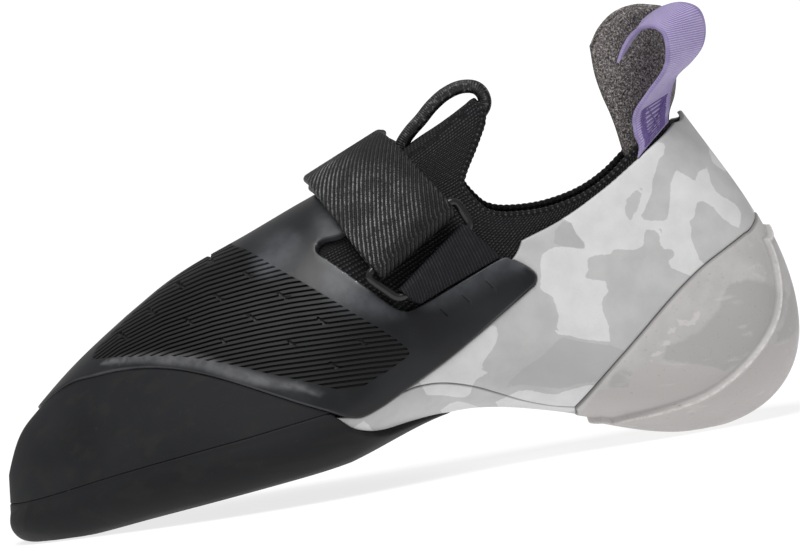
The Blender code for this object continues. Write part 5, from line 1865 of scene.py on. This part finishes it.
# Camera: its distance, elevation in degrees, sensor in millimetres and the span that it sees. Stage: light
# of the surroundings, the floor's size, gap, glow and tone, and the sun's direction, spread in degrees and
# strength
CAMERA_DISTANCE = 5.0
CAMERA_ELEVATION = 3.0
SENSOR_WIDTH = 36
CLIP = (0.05, 60)
WORLD_LIGHT = 0.34
FLOOR_SIZE = 40
FLOOR_GAP = 0.0002
FLOOR_GLOW = 0.78
FLOOR_TONE = 0.27
SUN_WAY = (-0.12, -0.34, 0.93)
SUN_SPREAD = 38
SUN_STRENGTH = 2.5


def build_camera():
    """Long lens on the lateral side, rolled as the shoe is tilted in the photograph."""
    middle = side_view([(PICTURE[0] / 2, PICTURE[1] / 2)])[0]
    target = Vector((middle[0] - LENGTH / 2 + SHIFT[0], 0, middle[1]))
    lift = math.radians(CAMERA_ELEVATION)
    way = Vector((0, -math.cos(lift), math.sin(lift)))
    data = bpy.data.cameras.new("camera")
    data.sensor_fit = "HORIZONTAL"
    data.sensor_width = SENSOR_WIDTH
    data.lens = SENSOR_WIDTH * CAMERA_DISTANCE / (PICTURE[0] * PIXEL)
    data.clip_start, data.clip_end = CLIP
    camera = bpy.data.objects.new("camera", data)
    bpy.context.scene.collection.objects.link(camera)
    turned = way.to_track_quat("Z", "Y").to_matrix().to_4x4() @ Matrix.Rotation(-TILT, 4, "Z")
    camera.matrix_world = Matrix.Translation(target + way * CAMERA_DISTANCE) @ turned
    bpy.context.scene.camera = camera


def build_sun():
    """Wide soft light from above and a little in front."""
    data = bpy.data.lights.new("overhead sun", "SUN")
    data.angle = math.radians(SUN_SPREAD)
    data.energy = SUN_STRENGTH
    light = bpy.data.objects.new("overhead sun", data)
    bpy.context.scene.collection.objects.link(light)
    light.matrix_world = Vector(SUN_WAY).to_track_quat("Z", "Y").to_matrix().to_4x4()


def build_stage():
    """Pale floor, and surroundings that the camera sees as white and the shoe as dimmer."""
    bpy.ops.mesh.primitive_plane_add(size=FLOOR_SIZE, location=(0, 0, -FLOOR_GAP))
    floor = bpy.context.object
    floor.name = "floor"
    pale = bpy.data.materials.new("pale floor")
    pale.use_nodes = True
    shader = pale.node_tree.nodes["Principled BSDF"]
    shader.inputs["Base Color"].default_value = (FLOOR_TONE, FLOOR_TONE, FLOOR_TONE, 1)
    shader.inputs["Roughness"].default_value = 0.95
    shader.inputs["Specular IOR Level"].default_value = 0.1
    shader.inputs["Emission Color"].default_value = (1, 1, 1, 1)
    shader.inputs["Emission Strength"].default_value = FLOOR_GLOW
    floor.data.materials.append(pale)
    world = bpy.data.worlds.new("studio")
    world.use_nodes = True
    bpy.context.scene.world = world
    tree = world.node_tree
    background = tree.nodes["Background"]
    background.inputs["Color"].default_value = (1, 1, 1, 1)
    seen = tree.nodes.new("ShaderNodeLightPath")
    strength = tree.nodes.new("ShaderNodeMapRange")
    strength.inputs["To Min"].default_value = WORLD_LIGHT
    strength.inputs["To Max"].default_value = 1.0
    tree.links.new(seen.outputs["Is Camera Ray"], strength.inputs["Value"])
    tree.links.new(strength.outputs["Result"], background.inputs["Strength"])
    build_sun()
    view = bpy.context.scene.view_settings
    view.view_transform = "Standard"
    view.look = "None"


build_all()
build_camera()
build_stage()
